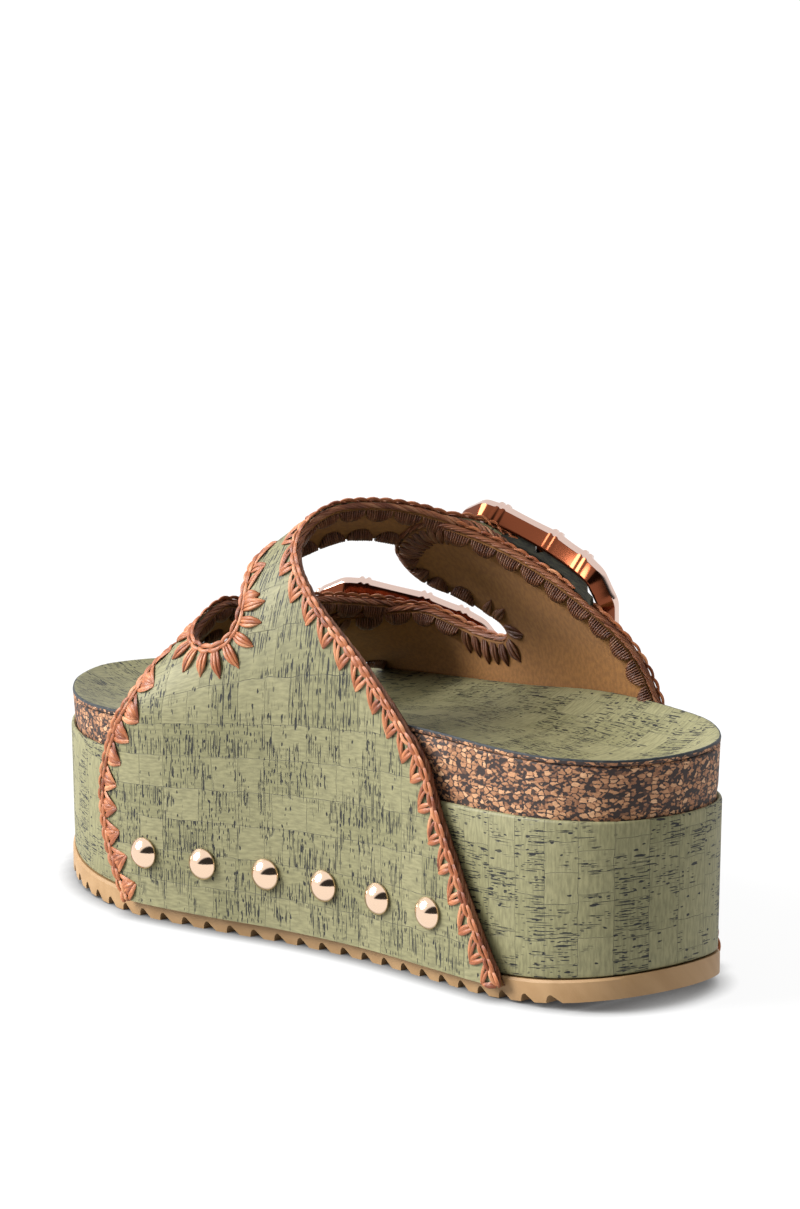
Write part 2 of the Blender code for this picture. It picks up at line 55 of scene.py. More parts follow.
# Sole sizes and tables, as in the part
LENGTH = 250.0
HEEL_TIP = (1.5, 0.0)
TOE_TIP = (-4.0, LENGTH)
OUTSOLE_THICKNESS = 6.4
TOE_SPRING = 4.5
TOE_SPRING_FROM = 168.0
HEEL_LIFT = 5.0
HEEL_LIFT_FROM = 52.0
PLATFORM_HEEL = 54.5
PLATFORM_TOE = 46.0
PLATFORM_TAPER = 0.6
LIP_WIDTH = 1.3
LIP_DEPTH = 1.6
SOLE_OUTLINE = (
    # y from the heel, x of the medial edge, x of the lateral edge
    (6.0, -18.5, 21.5),
    (20.0, -28.8, 32.0),
    (40.0, -33.0, 35.5),
    (60.0, -33.6, 36.2),
    (90.0, -34.2, 37.6),
    (120.0, -38.6, 41.0),
    (150.0, -46.6, 44.6),
    (178.0, -51.2, 46.0),
    (205.0, -46.4, 43.0),
    (228.0, -33.6, 34.2),
    (243.0, -18.5, 19.0),
)
TOOTH_PITCH = 8.0
TOOTH_FOOT = 3.6
TOOTH_DEPTH = 2.4
TREAD_FROM = 14.0
TREAD_COUNT = 28
INSOLE_THICKNESS = 1.8
INSOLE_INSET = 0.6
FOOTBED_RIM_INSET = 0.7
DISH_REACH = 27.0
FOOTBED_STATIONS = (
    # y, rim height on the medial side, rim height on the lateral side, depth of the dish
    (0.0, 72.0, 72.0, 7.0),
    (30.0, 72.0, 73.4, 9.0),
    (70.0, 72.5, 73.0, 8.5),
    (105.0, 71.0, 68.5, 5.5),
    (140.0, 66.0, 64.5, 4.5),
    (180.0, 61.0, 60.5, 5.0),
    (220.0, 58.2, 58.2, 5.5),
    (250.0, 57.0, 57.0, 5.0),
)

# Upper sizes and tables, as in the part, except that PRESS_DEPTH is deeper here
WALL = 2.6
PANEL_FOOT = 4.4
JOIN_DEPTH = 1.0
DROP_TO = 2.70
DROP_FROM = 2.86
MEDIAL_FULLNESS = 1.9
PRESS_DEPTH = 4.2
PRESS_GIRTHS = (1.80, 2.05, 2.42, 2.70)
PRESS_RUN = (136.0, 147.0, 156.0, 174.0)
LAST_STATIONS = (
    # y, height where the wall begins to lean in, height and x of the crown, lateral fullness
    (0.0, 71.5, 146.0, -15.0, 1.65),
    (60.0, 70.5, 144.6, -15.0, 1.65),
    (95.0, 68.5, 138.0, -15.0, 1.65),
    (124.0, 66.0, 124.0, -15.0, 1.65),
    (148.0, 63.0, 107.0, -18.0, 1.60),
    (160.0, 61.5, 93.4, -21.0, 1.52),
    (176.0, 59.5, 76.6, -22.0, 1.50),
    (200.0, 57.5, 64.0, -22.0, 1.50),
)
MEDIAL_EDGES = (
    # girth, y of the rear edge, of the cut-out's rear edge, of its front edge, of the front edge
    (0.00, 34.9, 88.0, 130.0, 177.2),
    (0.32, 47.0, 98.0, 138.0, 186.5),
    (0.66, 59.0, 111.0, 146.0, 188.0),
    (1.00, 72.0, 127.0, 152.0, 180.5),
    (1.15, 88.5, 137.0, 154.0, 176.5),
    (1.31, 106.6, 142.6, 149.4, 174.0),
    (1.34, 109.6, 140.6, 152.0, 173.8),
    (1.40, 114.4, 139.6, 155.4, 173.2),
    (1.50, 121.0, 141.0, 159.0, 173.0),
    (1.65, 127.0, 143.6, 160.2, 173.4),
    (1.80, 128.8, 145.6, 160.4, 173.8),
    (2.00, 126.0, 145.6, 160.0, 173.2),
    (2.20, 120.2, 139.0, 157.6, 171.6),
    (2.40, 108.4, 129.0, 152.8, 168.6),
    (2.55, 95.4, 119.0, 148.6, 168.0),
    (2.64, 89.4, 111.6, 148.0, 168.0),
    (2.69, 91.6, 104.6, 150.6, 165.0),
)
MEDIAL_CUT_FROM = 1.31
LATERAL_EDGES = (
    # girth, y of the rear edge, of the cut-out's rear edge, of its front edge, of the front edge
    (2.33, 117.0, 127.0, 161.0, 169.0),
    (2.37, 111.4, 132.8, 157.4, 173.4),
    (2.43, 106.0, 135.2, 155.4, 176.6),
    (2.51, 96.4, 135.0, 151.4, 178.8),
    (2.58, 86.6, 131.4, 146.8, 180.0),
    (2.64, 77.6, 124.4, 142.4, 180.4),
    (2.72, 66.0, 117.4, 134.6, 179.6),
    (2.79, 58.4, 109.0, 127.0, 178.0),
    (2.83, 55.2, 110.8, 118.6, 177.0),
    (3.00, 47.0, 96.0, 120.0, 175.0),
    (3.29, 39.6, 88.0, 124.0, 176.0),
    (3.63, 29.6, 80.0, 119.0, 171.0),
    (4.00, 20.9, 72.0, 112.0, 161.2),
)
LATERAL_CUT_TO = 2.83

# Metal sizes and tables, as in the part
BUCKLE_LENGTH = 58.0
BUCKLE_WIDTH = 34.0
BUCKLE_DEPTH = 6.0
BUCKLE_BAR = 6.0
BUCKLE_CORNER = 7.0
BUCKLE_BEND = 95.0
CENTRE_BAR_RADIUS = 1.6
PRONG_RADIUS = 1.2
PRONG_ROOT = 2.0
PRONG_REACH = 2.0
BUCKLES = (
    # name, girth and y of the seat, turn about the seat's normal in degrees, lift over the strap
    ("front", 2.76, 159.0, -52.0, 1.9),
    ("rear", 2.66, 94.0, -66.0, 2.4),
)
STUD_RADIUS = 4.7
STUD_FOOT = 0.6
STUD_DOME = 2.6
STUD_HEIGHT = 20.5
STUD_COUNT = 6
STUD_ROWS = (
    # side, which wall of the last, y of the rearmost stud, y of the foremost stud
    ("medial", 0, 63.0, 169.0),
    ("lateral", 1, 44.0, 148.0),
)

# The rear strap under its buckle, in the buckle's own frame, for the looks only
STRAP_CLEAR = 0.7
STRAP_RISE = 5.0
STRAP_WINDOW = (23.0, 18.0)
STRAP_LOWEST = -14.0
STRAP_END = (-21.0, 24.0)
STRAP_END_HALF = 12.0
STRAP_END_DEPTH = 1.8
STRAP_END_COLUMNS = 9
STRAP_BULGE = 3.4
STRAP_BULGE_ENDS = (17.0, 22.0)

# Thickness of the lining, a part of the upper's wall
LINING = 0.9

# Fineness of the meshes
SECTIONS = 170
FINE_SECTIONS = 400
DISH_COLUMNS = 30
EDGE_STEP = 0.9
SKIN_STEP = 2.4
SKIN_INSET = 0.9
GIRTH_MM = 58.0
STRAND_RINGS = 7
STRAND_SIDES = 6
ROD_SIDES = 16
STUD_SIDES = 36
CLOSE = 0.01
GIRTH_CLOSE = 0.02
PLACE_ROUNDS = 5
PLACE_EASE = 40.0
TOOTH_ROUNDING = (
    # how far on the heel side of the upright face, height as a share of the tooth's depth
    (1.3, 1.0), (0.6, 0.94), (0.2, 0.72), (0.0, 0.4), (0.0, 0.0),
)

# Crochet: pitches, counts and reaches of the strands
STITCH_PITCH = 8.8
STITCH_FREE = 19.0
FRONT_FROM = 20.0
CHAIN_PITCH = 4.0
CHAIN_HALF = 0.85
CORD_PITCH = 2.1
FAN_STRANDS = 11
PETAL_PLACES = np.arange(-4, 5) * 3.7
PETAL_REACH = 15.0
LAST_PETAL = 17.2
STRAND_SHARE = np.linspace(0, 1, STRAND_RINGS)


def spline(knots, values, at):
    """Cubic through the knots, with the slope at each knot taken from its neighbours."""
    knots = np.asarray(knots, float)
    values = np.asarray(values, float)
    slopes = np.gradient(values, knots, axis=0)
    at = np.clip(at, knots[0], knots[-1])
    low = np.clip(np.searchsorted(knots, at, side="right") - 1, 0, len(knots) - 2)
    span = knots[low + 1] - knots[low]
    t = (at - knots[low]) / span
    if values.ndim > 1:
        span = span[..., None]
        t = t[..., None]
    start = values[low] * (2 * t**3 - 3 * t**2 + 1) + slopes[low] * span * (t**3 - 2 * t**2 + t)
    end = values[low + 1] * (3 * t**2 - 2 * t**3) + slopes[low + 1] * span * (t**3 - t**2)
    return start + end


def column(table, at, index):
    """One column of a table, read smoothly at values of its first column."""
    rows = np.array(table, float)
    return spline(rows[:, 0], rows[:, index], np.asarray(at, float))


def unit(vectors):
    """The vectors with a length of one."""
    return vectors / np.linalg.norm(vectors, axis=-1)[..., None]


def run_along(points):
    """The length from the first point to each point of a line."""
    return np.concatenate([[0.0], np.cumsum(np.linalg.norm(np.diff(points, axis=0), axis=1))])


def read_along(at, run, rows):
    """Rows of a line, read at places along its run."""
    return np.column_stack([np.interp(at, run, part) for part in np.asarray(rows).T])


def smoothstep(low, high, at):
    """From 0 at low to 1 at high, with an easy start and end."""
    t = np.clip((at - low) / (high - low), 0.0, 1.0)
    return t * t * (3 - 2 * t)


def outline_sides(count, inset=0.0):
    """Matching points of the medial and the lateral edge, from the heel tip to the toe tip."""
    rows = np.array(SOLE_OUTLINE)
    lateral = np.column_stack([rows[:, 2], rows[:, 0]])
    medial = np.column_stack([rows[:, 1], rows[:, 0]])[::-1]
    loop = np.vstack([HEEL_TIP, lateral, TOE_TIP, medial])
    before = 3
    wrapped = np.vstack([loop[-before:], loop, loop[:before + 1]])
    knots = run_along(wrapped)
    heel = knots[before]
    toe = knots[before + len(rows) + 1]
    end = knots[before + len(loop)]

    def side(start, stop):
        at = np.linspace(start, stop, count + 1)
        tangent = unit(spline(knots, wrapped, at + CLOSE) - spline(knots, wrapped, at - CLOSE))
        normal = np.column_stack([tangent[:, 1], -tangent[:, 0]])
        return spline(knots, wrapped, at) - inset * normal

    return side(end, toe), side(heel, toe)


FINE_MEDIAL, FINE_LATERAL = outline_sides(FINE_SECTIONS)


def sole_edge(y, wall):
    """The x of the sole's edge at y, on the medial wall (0) or the lateral wall (1)."""
    fine = (FINE_MEDIAL, FINE_LATERAL)[wall]
    return np.interp(y, fine[:, 1], fine[:, 0])


def part_shift():
    """From the shoe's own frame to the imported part, by the platform's box."""
    low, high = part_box("platform")
    middle = (FINE_MEDIAL[:, 0].min() + FINE_LATERAL[:, 0].max()) / 2
    return np.array([(low[0] + high[0]) / 2 / MM - middle, low[1] / MM, 0.0])


SHIFT = part_shift()


def spring(y):
    """How far the ends of the sole lift off the floor."""
    toe = np.clip((y - TOE_SPRING_FROM) / (LENGTH - TOE_SPRING_FROM), 0, 1)
    heel = np.clip((HEEL_LIFT_FROM - y) / HEEL_LIFT_FROM, 0, 1)
    return TOE_SPRING * toe**2 + HEEL_LIFT * heel**2


def platform_top(y):
    """The height of the platform's top edge."""
    return PLATFORM_HEEL + (PLATFORM_TOE - PLATFORM_HEEL) * y / LENGTH


def insole_top(x, y):
    """The contoured surface the foot stands on."""
    medial = sole_edge(y, 0)
    lateral = sole_edge(y, 1)
    across = smoothstep(medial, lateral, x)
    rim = column(FOOTBED_STATIONS, y, 1) * (1 - across) + column(FOOTBED_STATIONS, y, 2) * across
    edge = np.vstack([FINE_MEDIAL, FINE_LATERAL])
    points = np.stack([x, y], axis=-1)
    far = np.linalg.norm(points[..., None, :] - edge, axis=-1).min(axis=-1)
    inward = 1 - np.clip(far / DISH_REACH, 0, 1)
    return rim - column(FOOTBED_STATIONS, y, 3) * (1 - inward**2)


def press(girth, y):
    """How far the buckle presses the rear edge of the front strap down, beside the crown."""
    around = smoothstep(PRESS_GIRTHS[0], PRESS_GIRTHS[1], girth) \
        * (1 - smoothstep(PRESS_GIRTHS[2], PRESS_GIRTHS[3], girth))
    along = smoothstep(PRESS_RUN[0], PRESS_RUN[1], y) * (1 - smoothstep(PRESS_RUN[2], PRESS_RUN[3], y))
    return PRESS_DEPTH * around * along


def last_point(girth, y):
    """A point of the last, which is the inner face of the upper."""
    girth = np.asarray(girth, float)
    y = np.asarray(y, float)
    shoulder = column(LAST_STATIONS, y, 1)
    crown = column(LAST_STATIONS, y, 2)
    ridge = column(LAST_STATIONS, y, 3)
    on_medial = girth < 2
    wall = np.where(on_medial, sole_edge(y, 0) - GAP, sole_edge(y, 1) + GAP)
    fullness = np.where(on_medial, MEDIAL_FULLNESS, column(LAST_STATIONS, y, 4))
    turn = np.clip(np.where(on_medial, girth - 1, 3 - girth), 0, 1) * math.pi / 2
    x = ridge + (wall - ridge) * np.clip(np.cos(turn), 0, 1) ** (2 / fullness)
    arch = shoulder + (crown - shoulder) * np.sin(turn) ** (2 / fullness)
    climb = np.clip(np.where(on_medial, girth, 4 - girth), 0, 1)
    z = np.where(climb < 1, PANEL_FOOT + (shoulder - PANEL_FOOT) * climb, arch)
    return np.stack([x, y, z - press(girth, y)], axis=-1)


def last_normal(girth, y):
    """The outward normal of the last."""
    ahead = np.minimum(girth + GIRTH_CLOSE, 4)
    behind = np.maximum(girth - GIRTH_CLOSE, 0)
    around = last_point(ahead, y) - last_point(behind, y)
    along = last_point(girth, y + 1) - last_point(girth, y - 1)
    return unit(np.cross(around, along))


def tab_drop(girth):
    """The lateral tabs dip under the medial straps, and are pressed into them a little."""
    return (JOIN_DEPTH - WALL) * (1 - smoothstep(DROP_TO, DROP_FROM, girth))


def unchanged(girth, *_):
    """No drop or rise anywhere."""
    return np.zeros_like(girth)


def hugging_strap(girth, y):
    """How far the rear strap is drawn up under its buckle."""
    _, seat_girth, seat_y, turn, lift = BUCKLES[1]
    axes, origin = seat(seat_girth, seat_y, WALL, turn)
    outer = last_point(girth, y) + last_normal(girth, y) * WALL
    x, over, out = np.moveaxis((outer - origin) @ axes.T, -1, 0)
    window = np.exp(-(x / STRAP_WINDOW[0]) ** 8 - (over / STRAP_WINDOW[1]) ** 8) * (out > STRAP_LOWEST)
    return np.clip(lift - STRAP_CLEAR - bend(x) - out, 0, STRAP_RISE) * window


def seat(girth, y, height, turn=0.0):
    """A frame on the outside of the upper: x along the strap, z out of it."""
    girth = np.array(girth)
    y = np.array(y)
    out = Vector(last_normal(girth, y))
    along = Vector(last_point(girth + CLOSE, y) - last_point(girth - CLOSE, y)).normalized()
    along = Matrix.Rotation(math.radians(turn), 3, out) @ along
    along = (along - out * along.dot(out)).normalized()
    over = out.cross(along)
    origin = Vector(last_point(girth, y)) + out * height
    return np.array((along, over, out)), np.array(origin)


def seated(points, place):
    """Points of a seat's frame, in the shoe's frame."""
    axes, origin = place
    return np.asarray(points) @ axes + origin


# Materials
class Nodes:
    """A node tree, with short ways to add and join its nodes."""

    def __init__(self, tree):
        self.tree = tree

    def put(self, socket, value):
        if isinstance(value, bpy.types.NodeSocket):
            self.tree.links.new(value, socket)
        else:
            socket.default_value = value

    def add(self, kind, inputs, **settings):
        node = self.tree.nodes.new(kind)
        for key, value in settings.items():
            setattr(node, key, value)
        for key, value in inputs.items():
            self.put(node.inputs[key], value)
        return node

    def between(self, value, low, high, start=0.0, stop=1.0):
        """A value taken from one range to another, and kept inside it."""
        inputs = {"Value": value, "From Min": low, "From Max": high, "To Min": start, "To Max": stop}
        return self.add("ShaderNodeMapRange", inputs, interpolation_type="SMOOTHSTEP").outputs[0]


class Look(Nodes):
    """A material, with short ways to make its patterns."""

    def __init__(self, name, roughness, metallic=0.0):
        self.material = bpy.data.materials.new(name)
        self.material.use_nodes = True
        super().__init__(self.material.node_tree)
        self.shader = self.tree.nodes["Principled BSDF"]
        self.shader.inputs["Roughness"].default_value = roughness
        self.shader.inputs["Metallic"].default_value = metallic

    def grain(self, across=1.0, along=1.0):
        """The surface's own millimetres, across and along its grain."""
        spot = self.add("ShaderNodeUVMap", {}, uv_map="grain").outputs["UV"]
        return self.add("ShaderNodeMapping", {"Vector": spot, "Scale": (across, along, 1.0)}).outputs[0]

    def noise(self, vector, scale, detail, output="Fac"):
        inputs = {"Vector": vector, "Scale": scale, "Detail": detail}
        return self.add("ShaderNodeTexNoise", inputs, noise_dimensions="2D").outputs[output]

    def grain_noise(self, across, along, detail):
        """Noise with so many waves per millimetre across and along the grain."""
        return self.noise(self.grain(across, along), 1.0, detail)

    def wobbled(self, vector, scale, reach):
        """A vector pushed about by noise."""
        push = self.noise(vector, scale, 2.0, "Color")
        inputs = {0: push, 1: (reach, reach, 0.0), 2: vector}
        return self.add("ShaderNodeVectorMath", inputs, operation="MULTIPLY_ADD").outputs[0]

    def cells(self, vector, feature="F1"):
        inputs = {"Vector": vector, "Scale": 1.0}
        return self.add("ShaderNodeTexVoronoi", inputs, voronoi_dimensions="2D", feature=feature)

    def flecks(self, across, along, rare, size, sharp):
        """Scattered marks: one in some of the cells, as large as the given share of a cell."""
        cell = self.cells(self.wobbled(self.grain(across, along), 1.4, 0.5))
        kept = self.between(cell.outputs["Color"], rare, rare + 0.05)
        return self.maths("MULTIPLY", self.between(cell.outputs["Distance"], size, sharp), kept)

    def maths(self, operation, first, second):
        return self.add("ShaderNodeMath", {0: first, 1: second}, operation=operation).outputs[0]

    def mix(self, factor, first, second, mode="MIX"):
        inputs = {0: factor, 6: first, 7: second}
        return self.add("ShaderNodeMix", inputs, data_type="RGBA", blend_type=mode).outputs[2]

    def ramp(self, value, stops, screen=False):
        """A ramp over (place, red, green, blue) rows, whose colours are light or screen values."""
        node = self.add("ShaderNodeValToRGB", {"Fac": value})
        steps = node.color_ramp.elements
        while len(steps) < len(stops):
            steps.new(0.5)
        for step, (place, *colour) in zip(steps, stops):
            step.position = place
            step.color = shade(*colour) if screen else (*colour, 1.0)
        return node.outputs["Color"]

    def colour(self, value):
        self.put(self.shader.inputs["Base Color"], value)

    def bump(self, height, depth, strength):
        inputs = {"Height": height, "Distance": depth * MM, "Strength": strength}
        self.put(self.shader.inputs["Normal"], self.add("ShaderNodeBump", inputs).outputs[0])


PATCH_FLECKS = (
    # cells per millimetre across and along the grain, the share left empty, outer and inner radius
    (1.4, 0.13, 0.58, 0.26, 0.22),
    (2.2, 0.07, 0.52, 0.25, 0.2),
    (0.8, 0.2, 0.76, 0.26, 0.22),
    (1.9, 0.45, 0.60, 0.29, 0.22),
)
LOOSE_FLECKS = (
    # specks and gashes on every patch, with the same columns
    (0.8, 0.4, 0.80, 0.25, 0.2),
    (0.55, 0.17, 0.88, 0.25, 0.2),
)
CHIP_TONES = (
    # place in the ramp, red, green and blue as light
    (0.0, 0.03, 0.014, 0.011),
    (0.46, 0.05, 0.022, 0.015),
    (0.52, 0.33, 0.15, 0.07),
    (0.72, 0.5, 0.25, 0.12),
    (1.0, 0.76, 0.46, 0.26),
)
CRUMB_TONES = (
    # place in the ramp, red, green and blue as light
    (0.0, 0.018, 0.01, 0.008),
    (0.62, 0.03, 0.014, 0.011),
    (0.7, 0.24, 0.1, 0.045),
    (1.0, 0.46, 0.23, 0.11),
)
RAFFIA_TONES = (
    # place in the ramp, red, green and blue as on a screen
    (0.30, 128, 66, 35),
    (0.45, 160, 92, 55),
    (0.58, 184, 114, 73),
    (0.75, 208, 146, 104),
)
INSOLE_EDGE_TONES = ((0.4, 26, 31, 34), (0.68, 44, 52, 58), (0.82, 120, 98, 76))
# Near-black painted shade for the sides of the strap end, in the shadow under the rear buckle
STRAP_PAINTED_SHADE_TONES = ((0.35, 22, 20, 14), (0.7, 46, 46, 32))
FLOOR_SHADE_REACH = 7.0
FLOOR_SHADE_POWER = 1.3
FLOOR_GLOW = 0.9


def shade(red, green, blue):
    """A colour given as it looks on a screen, 0 to 255."""
    return tuple(float((part / 255) ** 2.2) for part in (red, green, blue)) + (1.0,)


def cork_fabric_look():
    """Sage cork skin: a fine patchwork, some patches with dark slits and specks along the grain."""
    look = Look("cork_fabric", 0.6)
    spot = look.wobbled(look.grain(), 0.12, 1.2)

    def patches(first, second, joint):
        inputs = {"Vector": spot, "Color1": first, "Color2": second, "Mortar": joint, "Scale": 1.0,
                  "Mortar Size": 0.1, "Mortar Smooth": 0.5, "Brick Width": 12.5, "Row Height": 9.6}
        return look.add("ShaderNodeTexBrick", inputs, offset=0.41, squash=0.7, squash_frequency=2)

    tone = patches(shade(129, 125, 91), shade(117, 114, 80), shade(122, 118, 85))
    brushed = look.grain_noise(0.3, 1.3, 4.0)
    tint = look.ramp(brushed, ((0.3, 0.74, 0.74, 0.72), (0.7, 1.12, 1.12, 1.12)))
    base = look.mix(1.0, tone.outputs["Color"], tint, "MULTIPLY")
    cloud = look.grain_noise(0.14, 0.08, 3.0)
    marked = patches((0.0, 0.0, 0.0, 1.0), (1.0, 1.0, 1.0, 1.0), (0.4, 0.4, 0.4, 1.0)).outputs["Color"]
    busy = look.between(look.maths("ADD", marked, look.maths("MULTIPLY", cloud, 2.2)), 1.2, 2.0, 0.3, 1.0)
    marks = look.flecks(*PATCH_FLECKS[0])
    for row in PATCH_FLECKS[1:]:
        marks = look.maths("MAXIMUM", marks, look.flecks(*row))
    marks = look.between(look.maths("MULTIPLY", marks, busy), 0.3, 0.55)
    for row in LOOSE_FLECKS:
        marks = look.maths("MAXIMUM", marks, look.flecks(*row))
    joins = look.maths("MULTIPLY", tone.outputs["Fac"], look.between(brushed, 0.35, 0.6, 0.15, 0.75))
    marks = look.maths("MAXIMUM", marks, joins)
    look.colour(look.mix(marks, base, shade(13, 15, 11)))
    height = look.maths("SUBTRACT", look.maths("MULTIPLY", brushed, 0.25), marks)
    look.bump(height, 0.25, 0.6)
    return look.material


def granulated_cork_look():
    """Angular cork chips in a dark binder."""
    look = Look("granulated_cork", 0.7)
    large = look.wobbled(look.grain(0.74, 0.5), 3.0, 0.42)
    chip = look.cells(large)
    rim = look.cells(large, "DISTANCE_TO_EDGE").outputs["Distance"]
    tone = look.ramp(chip.outputs["Color"], CHIP_TONES)
    small = look.cells(look.wobbled(look.grain(1.7, 1.3), 1.6, 0.5))
    crumbs = look.ramp(small.outputs["Color"], CRUMB_TONES)
    light_chip = look.between(chip.outputs["Color"], 0.46, 0.52)
    whole = look.maths("MULTIPLY", look.between(rim, 0.07, 0.15), light_chip)
    fibre = look.grain_noise(2.2, 0.8, 3.0)
    worn = look.ramp(fibre, ((0.3, 0.72, 0.7, 0.68), (0.7, 1.0, 1.0, 1.0)))
    look.colour(look.mix(1.0, look.mix(whole, crumbs, tone), worn, "MULTIPLY"))
    look.bump(look.maths("ADD", whole, look.maths("MULTIPLY", fibre, 0.4)), 0.25, 0.7)
    return look.material


def raffia_look(name, level):
    """Copper-brown flat straw, streaked along each strand; a level under one gives a darker copy of it, with
    painted shade.
    """
    look = Look(name, 0.42)
    strand = look.grain_noise(0.0, 0.07, 1.0)
    stops = [(place, level * red, level * green, level * blue) for place, red, green, blue in RAFFIA_TONES]
    streak = look.grain_noise(7.0, 0.35, 3.0)
    tint = look.ramp(streak, ((0.3, 0.55, 0.48, 0.42), (0.62, 1.0, 1.0, 1.0)))
    look.colour(look.mix(1.0, look.ramp(strand, stops, True), tint, "MULTIPLY"))
    look.bump(streak, 0.2, 0.6)
    return look.material


def metal_look(name, red, green, blue, roughness):
    """Polished rose gold."""
    look = Look(name, roughness, 1.0)
    look.colour(shade(red, green, blue))
    return look.material


def rubber_look():
    """Tan moulded rubber."""
    look = Look("tan_rubber", 0.55)
    cloud = look.grain_noise(0.12, 0.12, 4.0)
    look.colour(look.mix(look.between(cloud, 0.3, 0.7), shade(147, 114, 75), shade(158, 125, 86)))
    look.bump(look.grain_noise(2.0, 2.0, 2.0), 0.08, 0.5)
    return look.material


def lining_look():
    """Beige napped microfibre."""
    look = Look("lining", 0.85)
    nap = look.grain_noise(0.9, 0.9, 6.0)
    look.colour(look.mix(look.between(nap, 0.3, 0.7), shade(122, 81, 36), shade(139, 94, 44)))
    look.shader.inputs["Sheen Weight"].default_value = 0.1
    look.bump(look.grain_noise(3.0, 3.0, 2.0), 0.12, 0.5)
    return look.material


def edge_look(name, roughness, across, along, tones):
    """A dark edge, a little scuffed. The insole's dark edge is its own colour; on the sides of the strap end
    the near-black tones are painted shade.
    """
    look = Look(name, roughness)
    look.colour(look.ramp(look.grain_noise(across, along, 4.0), tones, True))
    return look.material


def floor_look():
    """A pale floor that gives off light, with a painted contact shadow: its glow darkens only where the shoe
    stands close to it.
    """
    look = Look("floor", 0.9)
    look.colour((0.1, 0.1, 0.1, 1.0))
    look.shader.inputs["Specular IOR Level"].default_value = 0.0
    look.shader.inputs["Emission Color"].default_value = (1.0, 1.0, 1.0, 1.0)
    reach = {"Distance": FLOOR_SHADE_REACH * MM}
    # Painted contact shadow: the glow fades with the ambient occlusion of the shoe nearby
    open_sky = look.add("ShaderNodeAmbientOcclusion", reach, samples=8).outputs["AO"]
    glow = look.maths("MULTIPLY", look.maths("POWER", open_sky, FLOOR_SHADE_POWER), FLOOR_GLOW)
    look.put(look.shader.inputs["Emission Strength"], glow)
    return look.material


LOOKS = {
    "cork_fabric": cork_fabric_look(),
    "cork": granulated_cork_look(),
    "raffia": raffia_look("raffia", 1.0),
    # A darker copy of the raffia for the cord over the cut edge: painted shade
    "raffia_cord_painted_shade": raffia_look("raffia_cord_painted_shade", 0.78),
    # A darker copy of the raffia for the strands on the inside: painted shade, as they lie in the shadow of
    # the upper
    "raffia_inside_painted_shade": raffia_look("raffia_inside_painted_shade", 0.64),
    "rose_metal": metal_look("rose_gold", 242, 194, 164, 0.09),
    "stud_metal": metal_look("stud_rose_gold", 246, 214, 186, 0.12),
    # Pale and dark brown copies of the rose gold for the buckles: a painted highlight on the upper faces, a
    # painted dark reflection on the flanks
    "painted_highlight_metal": metal_look("rose_gold_painted_highlight", 222, 194, 182, 0.12),
    "painted_dark_reflection_metal": metal_look("rose_gold_painted_dark_reflection", 122, 68, 47, 0.14),
    "rubber": rubber_look(),
    "lining": lining_look(),
    "dark_edge": edge_look("dark_edge", 0.6, 1.4, 0.5, INSOLE_EDGE_TONES),
    "painted_shade_edge": edge_look("painted_shade_edge", 0.9, 1.5, 0.4, STRAP_PAINTED_SHADE_TONES),
}


# Meshes
def added(name, data):
    """A new object in the scene."""
    thing = bpy.data.objects.new(name, data)
    bpy.context.scene.collection.objects.link(thing)
    return thing


def piece(name, slot, points, faces, uv, looks=None, face_looks=None, nodes=(), sharp=40.0):
    """A shown piece of the shoe; uv holds one row per point, or one per face corner."""
    mesh = bpy.data.meshes.new(name)
    mesh.from_pydata(((np.asarray(points) + SHIFT) * MM).tolist(), [], faces)
    corners = np.empty(len(mesh.loops), int)
    mesh.loops.foreach_get("vertex_index", corners)
    uv = np.asarray(uv, float)
    if len(uv) != len(corners):
        uv = uv[corners]
    mesh.uv_layers.new(name="grain").data.foreach_set("uv", uv.ravel())
    for look in looks or (slot,):
        mesh.materials.append(LOOKS[look])
    if face_looks is not None:
        mesh.polygons.foreach_set("material_index", face_looks)
    mesh.shade_smooth()
    mesh.set_sharp_from_angle(angle=math.radians(sharp))
    shown = added(name, mesh)
    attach(shown, "root")
    if nodes:
        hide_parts(*nodes)


def ring_faces(rows, sides, closed=False):
    """Quads between rings of points that follow each other, looking outwards."""
    faces = []
    for row in range(rows if closed else rows - 1):
        low = row * sides
        high = (row + 1) % rows * sides
        for place in range(sides):
            after = (place + 1) % sides
            faces.append((low + place, low + after, high + after, high + place))
    return faces


def tube(rings, closed=False):
    """Points and faces of a tube through rings of points, with flat ends unless it is closed."""
    rings = np.asarray(rings)
    rows, sides = rings.shape[:2]
    faces = ring_faces(rows, sides, closed)
    if not closed:
        faces.append(tuple(reversed(range(sides))))
        faces.append(tuple(range((rows - 1) * sides, rows * sides)))
    return rings.reshape(-1, 3), faces


def moved(faces, offset):
    """The faces of a shape whose points start at offset."""
    return [tuple(offset + corner for corner in face) for face in faces]


def outline_loops(profile):
    """Loops round the sole from (inset, height) rows: lateral edge to the toe, then medial edge back."""
    loops = []
    for inset, height in profile:
        medial, lateral = outline_sides(SECTIONS, inset)
        flat = np.vstack([lateral[:-1], medial[:0:-1]])
        loops.append(np.column_stack([flat, height(flat[:, 0], flat[:, 1])]))
    return loops


def loop_uv(loops):
    """Grain along the loop, millimetres up across it, one row per face corner."""
    flat = loops[0][:, :2]
    run = run_along(np.vstack([flat, flat[:1]]))
    rise = [np.zeros(len(flat))]
    for low, high in zip(loops, loops[1:]):
        rise.append(rise[-1] + np.linalg.norm(high - low, axis=1))
    rows = []
    for low, high in zip(rise, rise[1:]):
        for place in range(len(flat)):
            after = (place + 1) % len(flat)
            rows += [(low[place], run[place]), (low[after], run[place + 1]),
                     (high[after], run[place + 1]), (high[place], run[place])]
    return rows


